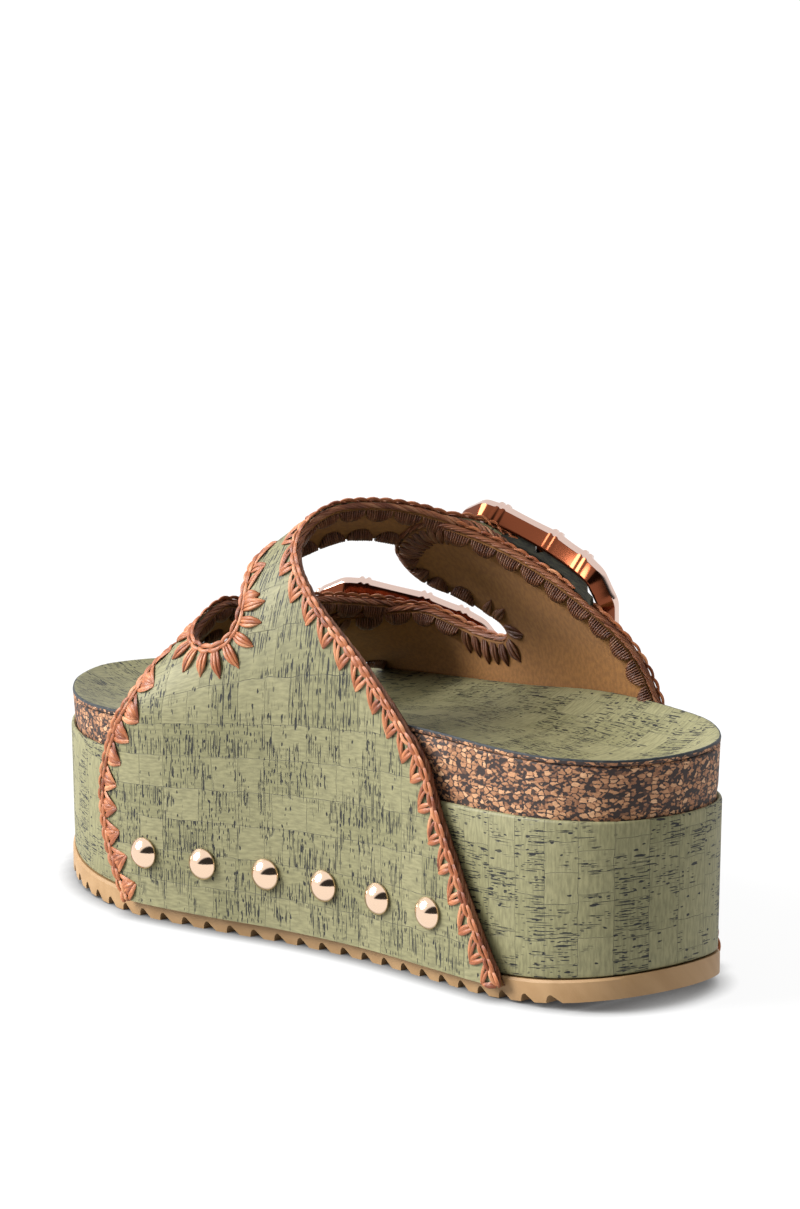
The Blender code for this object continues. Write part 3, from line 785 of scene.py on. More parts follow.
def cap_faces(start, up):
    """Quads across a loop, from its lateral to its medial edge."""
    count = 2 * SECTIONS
    faces = []
    for place in range(SECTIONS):
        corners = [place, place + 1, count - place - 1, (count - place) % count]
        kept = [start + corner for corner in dict.fromkeys(corners)]
        faces.append(tuple(kept if up else reversed(kept)))
    return faces


def slab(name, slot, profile, node):
    """A block with the sole's outline, from (inset, height) rows read from its foot to its top."""
    loops = outline_loops(profile)
    faces = ring_faces(len(loops), 2 * SECTIONS)
    uv = loop_uv(loops)
    points = np.vstack(loops)
    for cap in (cap_faces(0, False), cap_faces((len(loops) - 1) * 2 * SECTIONS, True)):
        faces += cap
        uv += [tuple(points[corner][:2]) for face in cap for corner in face]
    piece(name, slot, points, faces, uv, nodes=(node,))


def make_outsole():
    """Sections across the sole, with the saw teeth along its foot."""
    end = 0.02
    profile = [(end, HEEL_LIFT), (TREAD_FROM, spring(TREAD_FROM))]
    for tooth in range(TREAD_COUNT):
        y = TREAD_FROM + tooth * TOOTH_PITCH
        ground = spring(y + TOOTH_PITCH)
        profile.append((y + TOOTH_FOOT, spring(y + TOOTH_FOOT)))
        for back, share in TOOTH_ROUNDING:
            profile.append((y + TOOTH_PITCH - back, ground + TOOTH_DEPTH * share))
    profile.append((LENGTH - end, TOE_SPRING))
    corners, heights = np.array(profile).T
    turn = np.linspace(0, math.pi, 181)[1:-1]
    between = LENGTH * (1 - np.cos(turn)) / 2
    between = [y for y in between if np.abs(corners - y).min() > 0.2]
    # A tiny step keeps the corners of an upright face in order
    filled = np.interp(between, corners + np.arange(len(corners)) * 1e-6, heights)
    order = np.argsort(np.concatenate([corners, between]), kind="stable")
    y = np.concatenate([corners, between])[order]
    foot = np.concatenate([heights, filled])[order]
    top = OUTSOLE_THICKNESS + spring(y)
    medial = sole_edge(y, 0)
    lateral = sole_edge(y, 1)
    soft = np.minimum(0.7, (lateral - medial) * 0.1)
    section = ((medial, foot), (lateral, foot), (lateral, top - soft),
               (lateral - soft, top), (medial + soft, top), (medial, top - soft))
    points, faces = tube(np.stack([np.column_stack([x, y, z]) for x, z in section], axis=1))
    uv = np.column_stack([points[:, 2] + points[:, 0], points[:, 1]])
    piece("rubber_outsole", "rubber", points, faces, uv, nodes=("outsole",), sharp=30.0)


def make_platform():
    """The wrapped block, its top edge rolled over a lip round the footbed."""
    def up(share, drop=0.0):
        return lambda _, y: ((OUTSOLE_THICKNESS + spring(y) + GAP) * (1 - share)
                             + (platform_top(y) - drop) * share)

    profile = [(PLATFORM_TAPER + 0.9, up(0.0)), (PLATFORM_TAPER + 0.25, up(0.008)),
               (PLATFORM_TAPER, up(0.03))]
    profile += [(PLATFORM_TAPER * (1 - share), up(share)) for share in (0.25, 0.5, 0.75)]
    profile += [(0.0, up(1.0, 0.9)), (0.12, up(1.0, 0.4)), (0.42, up(1.0, 0.1)), (0.8, up(1.0)),
                (LIP_WIDTH, up(1.0, 0.3)), (LIP_WIDTH, up(1.0, LIP_DEPTH))]
    slab("wrapped_platform", "cork_fabric", profile, "platform")


def make_footbed():
    """The cork strip between the platform and the insole."""
    def up(share):
        return lambda x, y: ((platform_top(y) - LIP_DEPTH + GAP) * (1 - share)
                             + (insole_top(x, y) - INSOLE_THICKNESS - 0.1) * share)

    profile = [(LIP_WIDTH + GAP, up(0.0)), (LIP_WIDTH + GAP, up(0.12)), (1.15, up(0.3)), (0.95, up(0.6)),
               (FOOTBED_RIM_INSET, up(0.95)), (1.2, up(1.0)), (2.6, up(0.9)), (3.0, up(0.1))]
    slab("cork_footbed", "cork", profile, "footbed")


def dish_faces(edge, start):
    """Faces across a loop that starts at edge, over rows of inner points that start at start."""
    count = 2 * SECTIONS

    def at(row, place):
        if place == 0 or row in (0, SECTIONS):
            return edge + row
        if place == DISH_COLUMNS:
            return edge + count - row
        return start + (row - 1) * (DISH_COLUMNS - 1) + place - 1

    faces = []
    for row in range(SECTIONS):
        for place in range(DISH_COLUMNS):
            corners = (at(row, place), at(row + 1, place), at(row + 1, place + 1), at(row, place + 1))
            faces.append(tuple(dict.fromkeys(corners)))
    return faces


def make_insole():
    """The contoured sock, with its dark edge."""
    def top(drop):
        return lambda x, y: insole_top(x, y) - drop

    profile = ((1.4, top(INSOLE_THICKNESS)), (INSOLE_INSET, top(INSOLE_THICKNESS - 0.1)),
               (INSOLE_INSET - 0.1, top(INSOLE_THICKNESS / 2)), (INSOLE_INSET + 0.05, top(0.3)),
               (INSOLE_INSET + 0.4, top(0.05)))
    loops = outline_loops(profile)
    faces = ring_faces(len(loops), 2 * SECTIONS)
    uv = loop_uv(loops)
    edge = loops[-1]
    count = 2 * SECTIONS
    kinds = [2] * 2 * count + [1] * (len(faces) - 2 * count)
    offset = (len(loops) - 1) * count
    start = offset + count
    share = np.linspace(0, 1, DISH_COLUMNS + 1)[1:-1, None]
    rows = [edge[place, :2] * (1 - share) + edge[count - place, :2] * share for place in range(1, SECTIONS)]
    flat = np.vstack(rows)
    inside = np.column_stack([flat, insole_top(flat[:, 0], flat[:, 1])])
    under = inside - (0.0, 0.0, INSOLE_THICKNESS)
    points = np.vstack(loops + [inside, under])
    dish = dish_faces(offset, start)
    bottom = [face[::-1] for face in dish_faces(0, start + len(inside))]
    uv += [tuple(points[corner][:2]) for face in bottom + dish for corner in face]
    kinds += [1] * len(bottom) + [0] * len(dish)
    piece("cork_insole", "cork_fabric", points, faces + bottom + dish, uv,
          ("cork_fabric", "dark_edge", "cork"), kinds, ("insole",))


# Upper
class Sheet:
    """A medial or lateral sheet of the upper: the last cut along a smooth edge."""

    def __init__(self, name, edges, foot, end, cut, drop, rise, side):
        self.name = name
        self.drop = drop
        self.rise = rise
        self.side = side
        runs = ((1, foot, end), (2, end, cut), (3, cut, end), (4, end, foot))
        rough = []
        for index, start, stop in runs:
            girth = np.linspace(start, stop, 160)
            rough.append(np.column_stack([girth, column(edges, girth, index)]))
        trace = np.vstack(rough)
        for _ in range(2):
            trace = self.spaced(trace)
            trace = softened(trace, 3)
        self.trace = self.spaced(trace)
        self.length = len(self.trace) * EDGE_STEP
        self.corners = self.trace_corners(foot)
        self.inward = self.inward_ways()
        _, _, girth, y = self.placed(np.arange(len(self.trace)) * EDGE_STEP, SKIN_INSET, WALL)
        self.border = softened(np.column_stack([girth, y]), 2)

    def skin(self, girth, y, level):
        """Points at a height over the sheet's inner face."""
        lift = self.drop(girth) + level + self.rise(girth, y) * level / WALL
        return last_point(girth, y) + last_normal(girth, y) * lift[..., None]

    def spaced(self, trace):
        """The trace in even steps of its true length."""
        points = self.skin(trace[:, 0], trace[:, 1], WALL)
        run = run_along(points)
        at = np.linspace(0, run[-1], int(run[-1] / EDGE_STEP) + 1)
        return read_along(at, run, trace)

    def holds(self, girth, y):
        """Whether places lie inside the sheet's edge."""
        ring = self.border
        after = np.roll(ring, -1, axis=0)
        inside = np.zeros(len(girth), bool)
        for (g0, y0), (g1, y1) in zip(ring, after):
            if g0 == g1:
                continue
            crosses = (g0 > girth) != (g1 > girth)
            inside ^= crosses & (y < (y1 - y0) * (girth - g0) / (g1 - g0) + y0)
        return inside

    def trace_corners(self, foot):
        """Runs along the trace where it reaches the strap ends and the cut-out's foot."""
        far = np.abs(self.trace[:, 0] - foot)
        half = len(far) // 2
        first = int(np.argmax(far[:half]))
        last = half + int(np.argmax(far[half:]))
        low = first + int(np.argmin(far[first:last]))
        return first * EDGE_STEP, low * EDGE_STEP, last * EDGE_STEP

    def inward_ways(self):
        """The direction inwards on the surface, all along the trace."""
        girth, y = self.trace.T
        along = np.gradient(self.skin(girth, y, WALL), axis=0)
        return unit(np.cross(last_normal(girth, y), along) * self.side)

    def placed(self, run, depth, level):
        """Points at a run along the edge, a depth inwards and a height over the inner face."""
        shape = run.shape
        depth = np.broadcast_to(depth, shape).ravel()
        level = np.broadcast_to(level, shape).ravel()
        run = np.clip(run.ravel() / EDGE_STEP, 0, len(self.trace) - 1)
        whole = np.arange(len(self.trace))
        girth, y = read_along(run, whole, self.trace).T
        inward = read_along(run, whole, self.inward)
        goal = last_point(girth, y) + inward * depth[:, None]
        for _ in range(PLACE_ROUNDS):
            here = last_point(girth, y)
            around = (last_point(girth + 0.03, y) - last_point(girth - 0.03, y)) / 0.06
            along = last_point(girth, y + 0.5) - last_point(girth, y - 0.5)
            miss = goal - here
            aa = (around * around).sum(1) + PLACE_EASE
            bb = (along * along).sum(1)
            ab = (around * along).sum(1)
            am = (around * miss).sum(1)
            bm = (along * miss).sum(1)
            scale = aa * bb - ab * ab
            girth = np.clip(girth + np.clip((am * bb - bm * ab) / scale, -0.2, 0.2), 0.0, 4.0)
            y = y + np.clip((bm * aa - am * ab) / scale, -10, 10)
        points = self.skin(girth, y, level)
        normal = last_normal(girth, y)
        return points.reshape(*shape, 3), normal.reshape(*shape, 3), girth.reshape(shape), y.reshape(shape)


def softened(trace, steps):
    """A trace averaged over a few steps, with its ends kept."""
    reach = np.arange(-2 * steps, 2 * steps + 1)
    weight = np.exp(-0.5 * (reach / steps) ** 2)
    weight /= weight.sum()
    pad = 2 * steps
    head = 2 * trace[0] - trace[pad:0:-1]
    tail = 2 * trace[-1] - trace[-2:-pad - 2:-1]
    longer = np.vstack([head, trace, tail])
    return np.column_stack([np.convolve(part, weight, "valid") for part in longer.T])


def make_skin(sheet):
    """The sheet's outer cork skin and its lining, both closed walls."""
    edge = np.column_stack([sheet.border[:, 0] * GIRTH_MM, sheet.border[:, 1]])
    foot = np.linspace(edge[-1], edge[0], int(np.linalg.norm(edge[-1] - edge[0]) / SKIN_STEP) + 1)[1:-1]
    ring = np.vstack([edge, foot])
    low = ring.min(axis=0)
    high = ring.max(axis=0)
    across, along = np.meshgrid(np.arange(low[0], high[0], SKIN_STEP), np.arange(low[1], high[1], SKIN_STEP))
    across[1::2] += SKIN_STEP / 2
    spots = np.column_stack([across.ravel(), along.ravel()])
    spots = spots[sheet.holds(spots[:, 0] / GIRTH_MM, spots[:, 1])]
    near = np.array([np.abs(ring - spot).max(axis=1).min() for spot in spots])
    spots = spots[near > SKIN_STEP * 0.45]
    flat = [Vector(spot) for spot in np.vstack([ring, spots])]
    links = [(place, (place + 1) % len(ring)) for place in range(len(ring))]
    spots, _, triangles, *_ = delaunay_2d_cdt(flat, links, [], 1, 1e-4)
    girth = np.array([spot.x for spot in spots]) / GIRTH_MM
    y = np.array([spot.y for spot in spots])
    count = len(girth)
    seen = {link: True for face in triangles for link in zip(face, face[1:] + face[:1])}
    border = [link for link in seen if (link[1], link[0]) not in seen]
    inner = [tuple(face) for face in triangles]
    outer = [tuple(count + corner for corner in reversed(face)) for face in triangles]
    walls = [(stop, start, count + start, count + stop) for start, stop in border]
    uv = np.column_stack([y, girth * GIRTH_MM])
    upper = ("upper",) if sheet.side > 0 else ()
    for slot, levels, nodes in (("cork_fabric", (LINING, WALL), upper), ("lining", (0.0, LINING), ())):
        points = np.vstack([sheet.skin(girth, y, level) for level in levels])
        faces = flipped_out(points, inner + outer + walls, count)
        piece(f"{sheet.name}_{slot}", slot, points, faces, np.vstack([uv, uv]), nodes=nodes)


def flipped_out(points, faces, count):
    """The faces turned so that those of the outer face look away from the inner face."""
    outer = next(face for face in faces if min(face) >= count)
    corners = points[list(outer)]
    normal = np.cross(corners[1] - corners[0], corners[2] - corners[0])
    away = points[outer[0]] - points[outer[0] - count]
    if normal @ away > 0:
        return faces
    return [face[::-1] for face in faces]


# Crochet
def strands_piece(name, sheet, strands, look):
    """Flat tapered strands laid on a sheet.

    Each strand is its run, depth and level by ring, its half width and its half height.
    """
    run, depth, level, half_width, half_height = (np.array(part) for part in zip(*strands))
    count = len(strands)
    centre, normal, _, _ = sheet.placed(run, depth, level)
    tangent = unit(np.gradient(centre, axis=1))
    over = unit(np.cross(tangent, normal))
    out = np.cross(over, tangent)
    taper = np.sin(np.linspace(0.22, math.pi - 0.22, STRAND_RINGS)) ** 0.5
    angle = 2 * math.pi * (np.arange(STRAND_SIDES) + 0.5) / STRAND_SIDES - math.pi / 2
    wide = (half_width[:, None] * taper)[:, :, None, None] * np.cos(angle)[:, None]
    high = (half_height[:, None] * taper)[:, :, None, None] * np.sin(angle)[:, None]
    rings = centre[:, :, None, :] + over[:, :, None, :] * wide + out[:, :, None, :] * high
    each = STRAND_RINGS * STRAND_SIDES
    shape = [(face[0], *face[:0:-1]) for face in ring_faces(STRAND_RINGS, STRAND_SIDES)]
    shape += [tuple(range(STRAND_SIDES)), tuple(reversed(range(each - STRAND_SIDES, each)))]
    faces = []
    for number in range(count):
        faces += moved(shape, number * each)
    long = np.linalg.norm(np.diff(centre, axis=1), axis=2).cumsum(axis=1)
    long = np.concatenate([np.zeros((count, 1)), long], axis=1)
    long += CHANCE.uniform(0, 4000, (count, 1))
    uv = np.empty((*rings.shape[:3], 2))
    uv[..., 0] = np.arange(STRAND_SIDES) * 0.5 + CHANCE.uniform(0, 50, (count, 1, 1))
    uv[..., 1] = long[:, :, None]
    piece(name, "raffia", rings.reshape(-1, 3), faces, uv.reshape(-1, 2), (look,), sharp=80.0)


def jitter(size):
    return CHANCE.normal(0, size)


def leg(start, stop, low, high, half_width, half_height, bow=0.0):
    """A strand between two (run, depth) spots, rising from the low level to the high one and back."""
    swell = np.sin(math.pi * STRAND_SHARE)
    run, depth = (begin + (end - begin) * STRAND_SHARE for begin, end in zip(start, stop))
    return run + bow * swell, depth, low + (high - low) * swell, half_width, half_height


def chain(sheet):
    """Interlocked V links along the whole edge, outside."""
    strands = []
    for number in range(int(sheet.length / CHAIN_PITCH)):
        for hand in (-1, 1):
            reach = CHAIN_PITCH * 1.4 + jitter(0.15)
            run = number * CHAIN_PITCH + reach * STRAND_SHARE + (0.25 * CHAIN_PITCH if hand > 0 else 0.0)
            depth = 0.6 + hand * CHAIN_HALF * np.sin(math.pi * (0.12 + 0.8 * STRAND_SHARE)) + jitter(0.08)
            level = WALL + 0.6 * np.sin(math.pi * (0.1 + 0.85 * STRAND_SHARE))
            strands.append((run, depth, level, CHAIN_HALF * 0.8 + jitter(0.05), 0.42))
    return strands


def cord(sheet):
    """A twisted cord that covers the cut edge."""
    strands = []
    for number in range(int(sheet.length / CORD_PITCH)):
        run = number * CORD_PITCH + CORD_PITCH * 3.4 * STRAND_SHARE + jitter(0.15)
        level = WALL / 2 + 0.7 * np.cos(math.pi * STRAND_SHARE) + jitter(0.08)
        depth = 0.5 - 0.5 * np.sin(math.pi * STRAND_SHARE) + jitter(0.08)
        strands.append((run, depth, level, 0.45 + jitter(0.05), 0.45))
    return strands


def open_stitch(middle, lean, deep, full):
    """Two pairs of flat strands from an upper and a lower chain point to one tip."""
    side = math.copysign(1.0, lean)
    tip = middle + lean
    rows = (
        # run of the chain end, run of the tip, how far short of the tip, half width
        (middle + side * 3.9, tip + side * 0.35, 0.0, 0.74),
        (middle + side * 2.3, tip - side * 0.15, 0.6, 0.70),
        (middle - side * 4.2, tip + side * 0.10, 0.3, 0.62),
        (middle - side * 1.7, tip - side * 0.45, 0.9, 0.62),
    )
    strands = []
    for foot, end, short, half in rows:
        high = WALL + 0.62 + jitter(0.06)
        start = (foot + jitter(0.12), 1.5)
        stop = (end, deep - short + jitter(0.12))
        strands.append(leg(start, stop, WALL + 0.05, high, half * full, 0.34, math.copysign(0.2, foot - tip)))
    return strands


def petal(middle, lean, deep, level, out, full):
    """Three fat strands side by side that meet in one tip."""
    strands = []
    for hand in (-1, 0, 1):
        start = (middle + hand * full + jitter(0.08), 1.1)
        stop = (middle + lean + hand * full * 0.25, deep - 0.7 * abs(hand) + jitter(0.12))
        high = level + out * (0.95 - 0.2 * abs(hand) + jitter(0.05))
        strands.append(leg(start, stop, level + out * 0.05, high, full, 0.5, hand * 0.4))
    return strands


def fan(middle):
    """A half-moon of tight strands on the inside."""
    strands = []
    half = FAN_STRANDS // 2
    for place in range(-half, half + 1):
        round_off = math.sqrt(1 - (place / (half + 0.5)) ** 2)
        start = (middle + place * 0.78, 0.6)
        stop = (middle + place * 0.64, 1.9 + 4.7 * round_off + jitter(0.15))
        strands.append(leg(start, stop, -0.1, -0.5 - 1.3 * round_off, 0.42 + jitter(0.03), 0.5))
    return strands


def stitch_places(sheet):
    """Runs of the stitches, evenly along the whole edge."""
    count = int(sheet.length / STITCH_PITCH)
    return (np.arange(count) + 0.5) * (sheet.length / count)


def outer_stitches(sheet):
    """The stitches on the outer face, of the kind each stretch of the edge has."""
    _, low, last = sheet.corners
    strands = []
    for middle in stitch_places(sheet):
        if abs(middle - low) < STITCH_FREE:
            continue
        front = sheet.side > 0 and middle > last + FRONT_FROM
        lean = 0.3 if front else (-2.9 if middle < low else 2.9)
        strands += open_stitch(middle, lean, 7.4 + jitter(0.2), 1.2 if front else 1.0)
        if front:
            strands += petal(middle, lean, 6.9 + jitter(0.2), WALL, 0.7, 0.8)
    for place in PETAL_PLACES:
        strands += petal(low + place, place * 0.1, 9.2 + jitter(0.4), WALL, 1.0, 0.66)
    for place in (-LAST_PETAL, LAST_PETAL):
        strands += petal(low + place, place * 0.05, 7.0, WALL, 1.0, 0.9)
    return strands


def inner_fans(sheet):
    """Half-moons on the inside, and single petals round the ends of the tabs."""
    strands = []
    petals = [] if sheet.side > 0 else sheet.corners
    for middle in stitch_places(sheet):
        if not any(abs(middle - place) < PETAL_REACH for place in petals):
            strands += fan(middle)
    for corner in petals:
        for place in PETAL_PLACES:
            strands += petal(corner + place, place * -0.1, 8.6 + jitter(0.4), 0.0, -1.0, 0.68)
    return strands


def shown_strands(sheet, other, strands, level):
    """Strands that don't lie wholly under or inside the other sheet."""
    run, depth, *_ = (np.array(part) for part in zip(*strands))
    _, _, girth, y = sheet.placed(run, depth, level)
    hidden = other.holds(girth.ravel(), y.ravel()).reshape(run.shape).all(axis=1)
    return [strand for strand, gone in zip(strands, hidden) if not gone]


def make_crochet(sheet, other):
    """All the edging of one sheet."""
    outside = chain(sheet) + outer_stitches(sheet)
    inside = inner_fans(sheet)
    if sheet.side > 0:
        inside = shown_strands(sheet, other, inside, 0.0)
    else:
        outside = shown_strands(sheet, other, outside, WALL)
    strands_piece(f"{sheet.name}_edging_outside", sheet, outside, "raffia")
    # The inside strands take the darker copy of the raffia, with painted shade
    strands_piece(f"{sheet.name}_edging_inside", sheet, inside, "raffia_inside_painted_shade")
    # The cord takes a darker copy of the raffia, with painted shade
    strands_piece(f"{sheet.name}_edging_cord", sheet, cord(sheet), "raffia_cord_painted_shade")


# Metal
def rod(start, stop, radius):
    """Points and faces of a round rod with domed ends."""
    start = np.array(start, float)
    axis = np.array(stop, float) - start
    length = np.linalg.norm(axis)
    axis /= length
    over = np.cross(axis, (0.3, 0.2, 1.0))
    over /= np.linalg.norm(over)
    out = np.cross(axis, over)
    turn = np.linspace(0.15, math.pi / 2, 5)
    ends = [(radius * (1 - math.cos(t)), radius * math.sin(t)) for t in turn]
    profile = ends + [(length - along, size) for along, size in reversed(ends)]
    angle = 2 * math.pi * np.arange(ROD_SIDES) / ROD_SIDES
    circle = np.cos(angle)[:, None] * over + np.sin(angle)[:, None] * out
    return tube([start + axis * along + size * circle for along, size in profile])


def bar_section():
    """The bar's section: a narrow foot, flanks that lean out and a rim under a bevelled top."""
    half = BUCKLE_BAR / 2
    corners = np.array([(-0.5, -0.3), (0.5, -0.3), (half, 3.3), (half, 5.1), (half * 0.6, BUCKLE_DEPTH),
                        (-half * 0.6, BUCKLE_DEPTH), (-half, 5.1), (-half, 3.3)])
    points = []
    for place in range(len(corners)):
        before = corners[place - 1]
        here = corners[place]
        after = corners[(place + 1) % len(corners)]
        into = here + (before - here) / np.linalg.norm(before - here) * 0.3
        away = here + (after - here) / np.linalg.norm(after - here) * 0.3
        for share in (0.0, 0.33, 0.67, 1.0):
            points.append(into * (1 - share) ** 2 + here * 2 * share * (1 - share) + away * share**2)
    return np.array(points)


NODE_RINGS = (
    # side of the frame (-1 near, 1 far), x of a double ring
    (-1, -16.0), (-1, 3.0), (-1, 15.0), (1, -14.0), (1, -2.0), (1, 17.0),
)
# The places of the bar's section from which its upper faces start
BAR_TOP = range(9, 29)


def frame_path():
    """The middle line of the frame's bar as an even loop with eased corners."""
    x = (BUCKLE_LENGTH - BUCKLE_BAR) / 2
    y = (BUCKLE_WIDTH - BUCKLE_BAR) / 2
    corner = BUCKLE_CORNER * 0.8
    loop = np.array([(x, y - corner), (x - corner, y), (corner - x, y), (-x, y - corner),
                     (-x, corner - y), (corner - x, -y), (x - corner, -y), (x, corner - y)])
    closed = np.vstack([loop, loop[:1]])
    run = run_along(closed)
    count = int(run[-1] / 0.4)
    at = np.arange(count) * run[-1] / count
    path = read_along(at, run, closed)
    for _ in range(6):
        path = (np.roll(path, 1, axis=0) + 2 * path + np.roll(path, -1, axis=0)) / 4
    return path


def swelling(path):
    """How much larger the bar is at each place of the path, for the raised double rings."""
    grow = np.ones(len(path))
    for side, x in NODE_RINGS:
        on_bar = path[:, 1] * side > BUCKLE_WIDTH / 2 - BUCKLE_BAR
        for middle in (x - 1.0, x + 1.0):
            ring = np.exp(-((path[:, 0] - middle) / 0.62) ** 4)
            grow += 0.1 * ring * on_bar
        grow += 0.07 * np.exp(-((path[:, 0] - x) / 5.0) ** 2) * on_bar
    return grow


def bend(x):
    """How far the buckle dips at x, so that it follows the curve of the strap."""
    return x**2 / (2 * BUCKLE_BEND)


def make_buckle(name, girth, y, turn, lift):
    """A bamboo-like frame with its centre bar, and the prong that rests on it."""
    place = seat(girth, y, WALL + lift, turn)
    path = frame_path()
    along = unit(np.roll(path, -1, axis=0) - np.roll(path, 1, axis=0))
    outward = np.column_stack([along[:, 1], -along[:, 0]])
    section = bar_section()
    grow = swelling(path)
    rings = []
    for spot, out, size in zip(path, outward, grow):
        flat = spot + out * (section[:, :1] * size)
        high = section[:, 1] * size - bend(spot[0])
        rings.append(np.column_stack([flat, high]))
    points, faces = tube(rings, True)
    # Upper faces take the pale copy, a painted highlight; the flanks, foot and centre bar take the dark brown
    # copy, a painted dark reflection
    kinds = [0 if side in BAR_TOP else 1 for side in range(len(section))] * len(rings)
    reach = (BUCKLE_WIDTH - BUCKLE_BAR) / 2
    ends = ((0, -reach, CENTRE_BAR_RADIUS), (0, reach, CENTRE_BAR_RADIUS))
    bar_points, bar_faces = rod(*ends, CENTRE_BAR_RADIUS)
    faces += moved(bar_faces, len(points))
    points = np.vstack([points, bar_points])
    kinds += [1] * len(bar_faces)
    piece(f"bamboo_buckle_{name}", "rose_metal", seated(points, place), faces, points[:, :2],
          ("painted_highlight_metal", "painted_dark_reflection_metal"), kinds, (f"buckle_{name}",), 50.0)
    root = -CENTRE_BAR_RADIUS - 2 * GAP
    end_bar = BUCKLE_BAR - BUCKLE_LENGTH / 2
    top = BUCKLE_DEPTH - bend(end_bar) + PRONG_RADIUS
    slope = (top - PRONG_ROOT) / (root - end_bar)
    reach = BUCKLE_BAR + PRONG_REACH
    points, faces = rod((root, 0, PRONG_ROOT), (end_bar - reach, 0, top + slope * reach), PRONG_RADIUS)
    piece(f"polished_prong_{name}", "rose_metal", seated(points, place), faces, points[:, :2],
          nodes=(f"prong_{name}",))


def make_strap_end():
    """The end of the rear strap, drawn through under its buckle and bulging up in its windows."""
    _, girth, y, turn, lift = BUCKLES[1]
    place = seat(girth, y, WALL + lift, turn)
    rings = []
    across = np.linspace(-STRAP_END_HALF, STRAP_END_HALF, STRAP_END_COLUMNS)
    soft = 0.4 * (across / STRAP_END_HALF) ** 6
    for x in np.linspace(*STRAP_END, 60):
        window = (1 - math.exp(-(x / 1.8) ** 2)) * (1 - smoothstep(*STRAP_BULGE_ENDS, abs(x)))
        top = STRAP_BULGE * window - STRAP_CLEAR - bend(x)
        low = -STRAP_CLEAR - STRAP_END_DEPTH - bend(x)
        upper = np.column_stack([np.full(STRAP_END_COLUMNS, x), across, top - soft])
        lower = np.column_stack([np.full(STRAP_END_COLUMNS, x), across[::-1], low + soft])
        rings.append(np.vstack([upper, lower]))
    points, faces = tube(rings)
    uv = np.column_stack([points[:, 1] + points[:, 2], points[:, 0]])
    # The top faces take the cork skin; the sides, underside and ends take near-black painted shade, for the
    # shadow under the buckle
    kinds = ([0] * (STRAP_END_COLUMNS - 1) + [1] * (STRAP_END_COLUMNS + 1)) * (len(rings) - 1) + [1, 1]
    piece("medial_strap_end", "cork_fabric", seated(points, place), [face[::-1] for face in faces], uv,
          ("cork_fabric", "painted_shade_edge"), kinds)


def stud_profile():
    """Radius and height from the foot to the crown of a domed stud."""
    bow = (STUD_RADIUS**2 + STUD_DOME**2) / (2 * STUD_DOME)
    sweep = math.asin(STUD_RADIUS / bow)
    rows = [(STUD_RADIUS - 0.2, 0.0), (STUD_RADIUS, 0.2), (STUD_RADIUS, STUD_FOOT - 0.1)]
    for share in np.linspace(0.03, 0.97, 10):
        angle = sweep * (1 - share)
        rows.append((bow * math.sin(angle), STUD_FOOT + STUD_DOME - bow * (1 - math.cos(angle))))
    return rows


def make_studs():
    """Twelve domed rivets as one piece."""
    angle = 2 * math.pi * np.arange(STUD_SIDES) / STUD_SIDES
    rings = [np.column_stack([radius * np.cos(angle), radius * np.sin(angle), np.full(STUD_SIDES, height)])
             for radius, height in stud_profile()]
    shape, shape_faces = tube(rings)
    points = []
    faces = []
    nodes = []
    for side, wall, rear, front in STUD_ROWS:
        for number in range(STUD_COUNT):
            y = front + (rear - front) * number / (STUD_COUNT - 1)
            shoulder = float(column(LAST_STATIONS, y, 1))
            climb = (STUD_HEIGHT - PANEL_FOOT) / (shoulder - PANEL_FOOT)
            place = seat(climb if wall == 0 else 4 - climb, y, WALL + GAP)
            faces += moved(shape_faces, len(points) * len(shape))
            points.append(seated(shape, place))
            nodes.append(f"stud_{side}_{number + 1}")
    points = np.vstack(points)
    piece("polished_studs", "rose_metal", points, faces, points[:, 1:], ("stud_metal",), nodes=nodes,
          sharp=60.0)


# Stage
FLOOR_HALF = 6.0
KEY_FROM = (-0.66, 0.55, 0.51)
KEY_STRENGTH = 6.0
KEY_SPREAD = 35.0
DARK_SIDE = (-0.46, -0.76, -0.45)
DARK_EDGE = (0.22, 0.38)
STUDIO_WHITE = 1.0
STUDIO_DARK = 0.03


def make_floor():
    mesh = bpy.data.meshes.new("floor")
    corners = [(x * FLOOR_HALF, y * FLOOR_HALF, 0) for x, y in ((-1, -1), (1, -1), (1, 1), (-1, 1))]
    mesh.from_pydata(corners, [], [(0, 1, 2, 3)])
    mesh.materials.append(floor_look())
    added("floor", mesh)


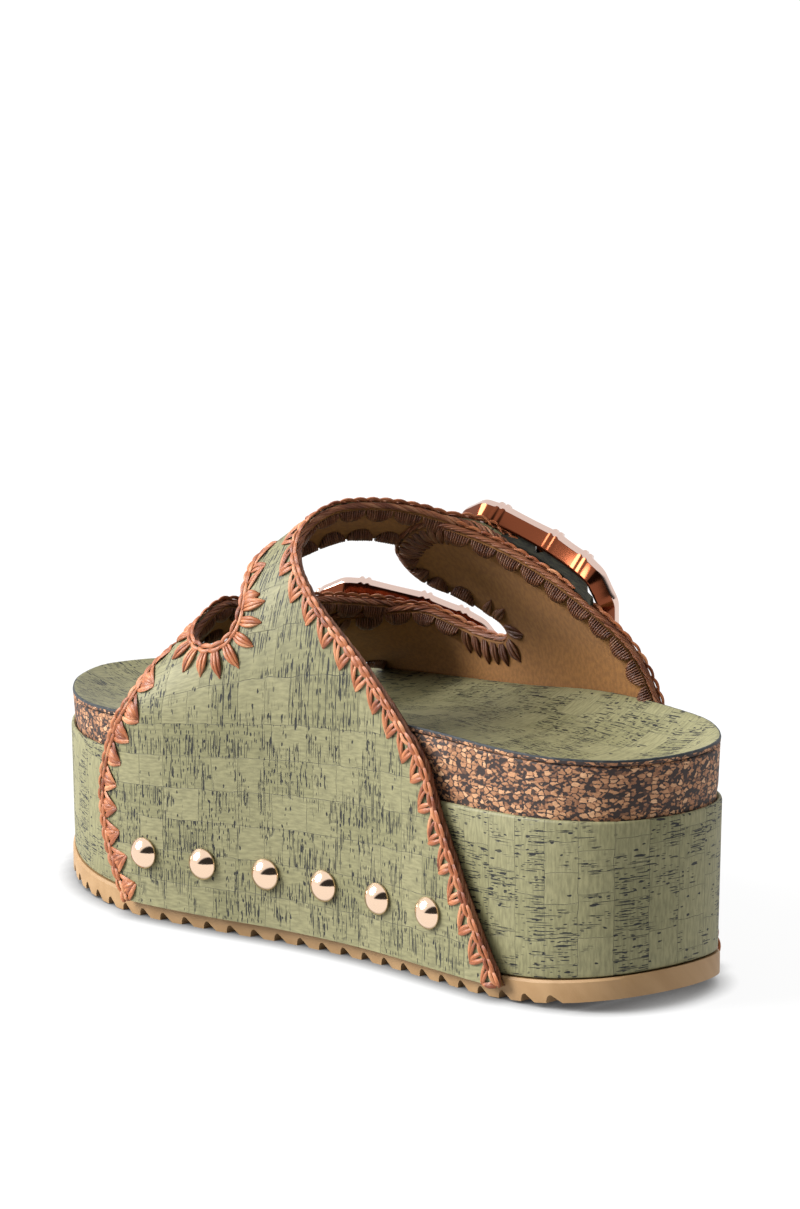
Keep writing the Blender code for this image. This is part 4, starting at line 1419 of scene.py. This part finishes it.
def make_lights():
    """A broad soft key from the medial toe side, in a white studio that is dark low behind the heel."""
    lamp = bpy.data.lights.new("key", "SUN")
    lamp.energy = KEY_STRENGTH
    lamp.angle = math.radians(KEY_SPREAD)
    added("key", lamp).rotation_euler = Vector(KEY_FROM).to_track_quat("Z", "Y").to_euler()
    world = bpy.data.worlds.new("studio")
    world.use_nodes = True
    nodes = Nodes(world.node_tree)
    way = nodes.add("ShaderNodeTexCoord", {}).outputs["Generated"]
    facing = nodes.add("ShaderNodeVectorMath", {0: way, 1: DARK_SIDE}, operation="DOT_PRODUCT")
    back = world.node_tree.nodes["Background"]
    back.inputs["Color"].default_value = (1.0, 1.0, 1.0, 1.0)
    level = nodes.between(facing.outputs["Value"], *DARK_EDGE, STUDIO_WHITE, STUDIO_DARK)
    nodes.put(back.inputs["Strength"], level)
    bpy.context.scene.world = world


CAMERA_PLACE = (-993.02, -1004.07, 404.47)
CAMERA_TURN = -41.55
CAMERA_TILT = 13.38
CAMERA_LENS = 157.68
CAMERA_SHIFT = 0.131


def make_camera():
    data = bpy.data.cameras.new("camera")
    data.sensor_fit = "VERTICAL"
    data.sensor_height = 36.0
    data.lens = CAMERA_LENS
    data.shift_y = CAMERA_SHIFT
    data.clip_start = 0.01
    shown = added("camera", data)
    shown.location = (np.array(CAMERA_PLACE) + SHIFT) * MM
    shown.rotation_euler = (math.radians(90 - CAMERA_TILT), 0.0, math.radians(CAMERA_TURN))
    bpy.context.scene.camera = shown
    bpy.context.scene.view_settings.view_transform = "Standard"
    bpy.context.scene.view_settings.look = "None"


def main():
    make_outsole()
    make_platform()
    make_footbed()
    make_insole()
    medial = Sheet("medial", MEDIAL_EDGES, 0.0, MEDIAL_EDGES[-1][0], MEDIAL_CUT_FROM,
                   unchanged, hugging_strap, 1)
    lateral = Sheet("lateral", LATERAL_EDGES, 4.0, LATERAL_EDGES[0][0], LATERAL_CUT_TO,
                    tab_drop, unchanged, -1)
    for sheet in (medial, lateral):
        make_skin(sheet)
    make_crochet(medial, lateral)
    make_crochet(lateral, medial)
    for row in BUCKLES:
        make_buckle(*row)
    make_strap_end()
    make_studs()
    make_floor()
    make_lights()
    make_camera()


main()
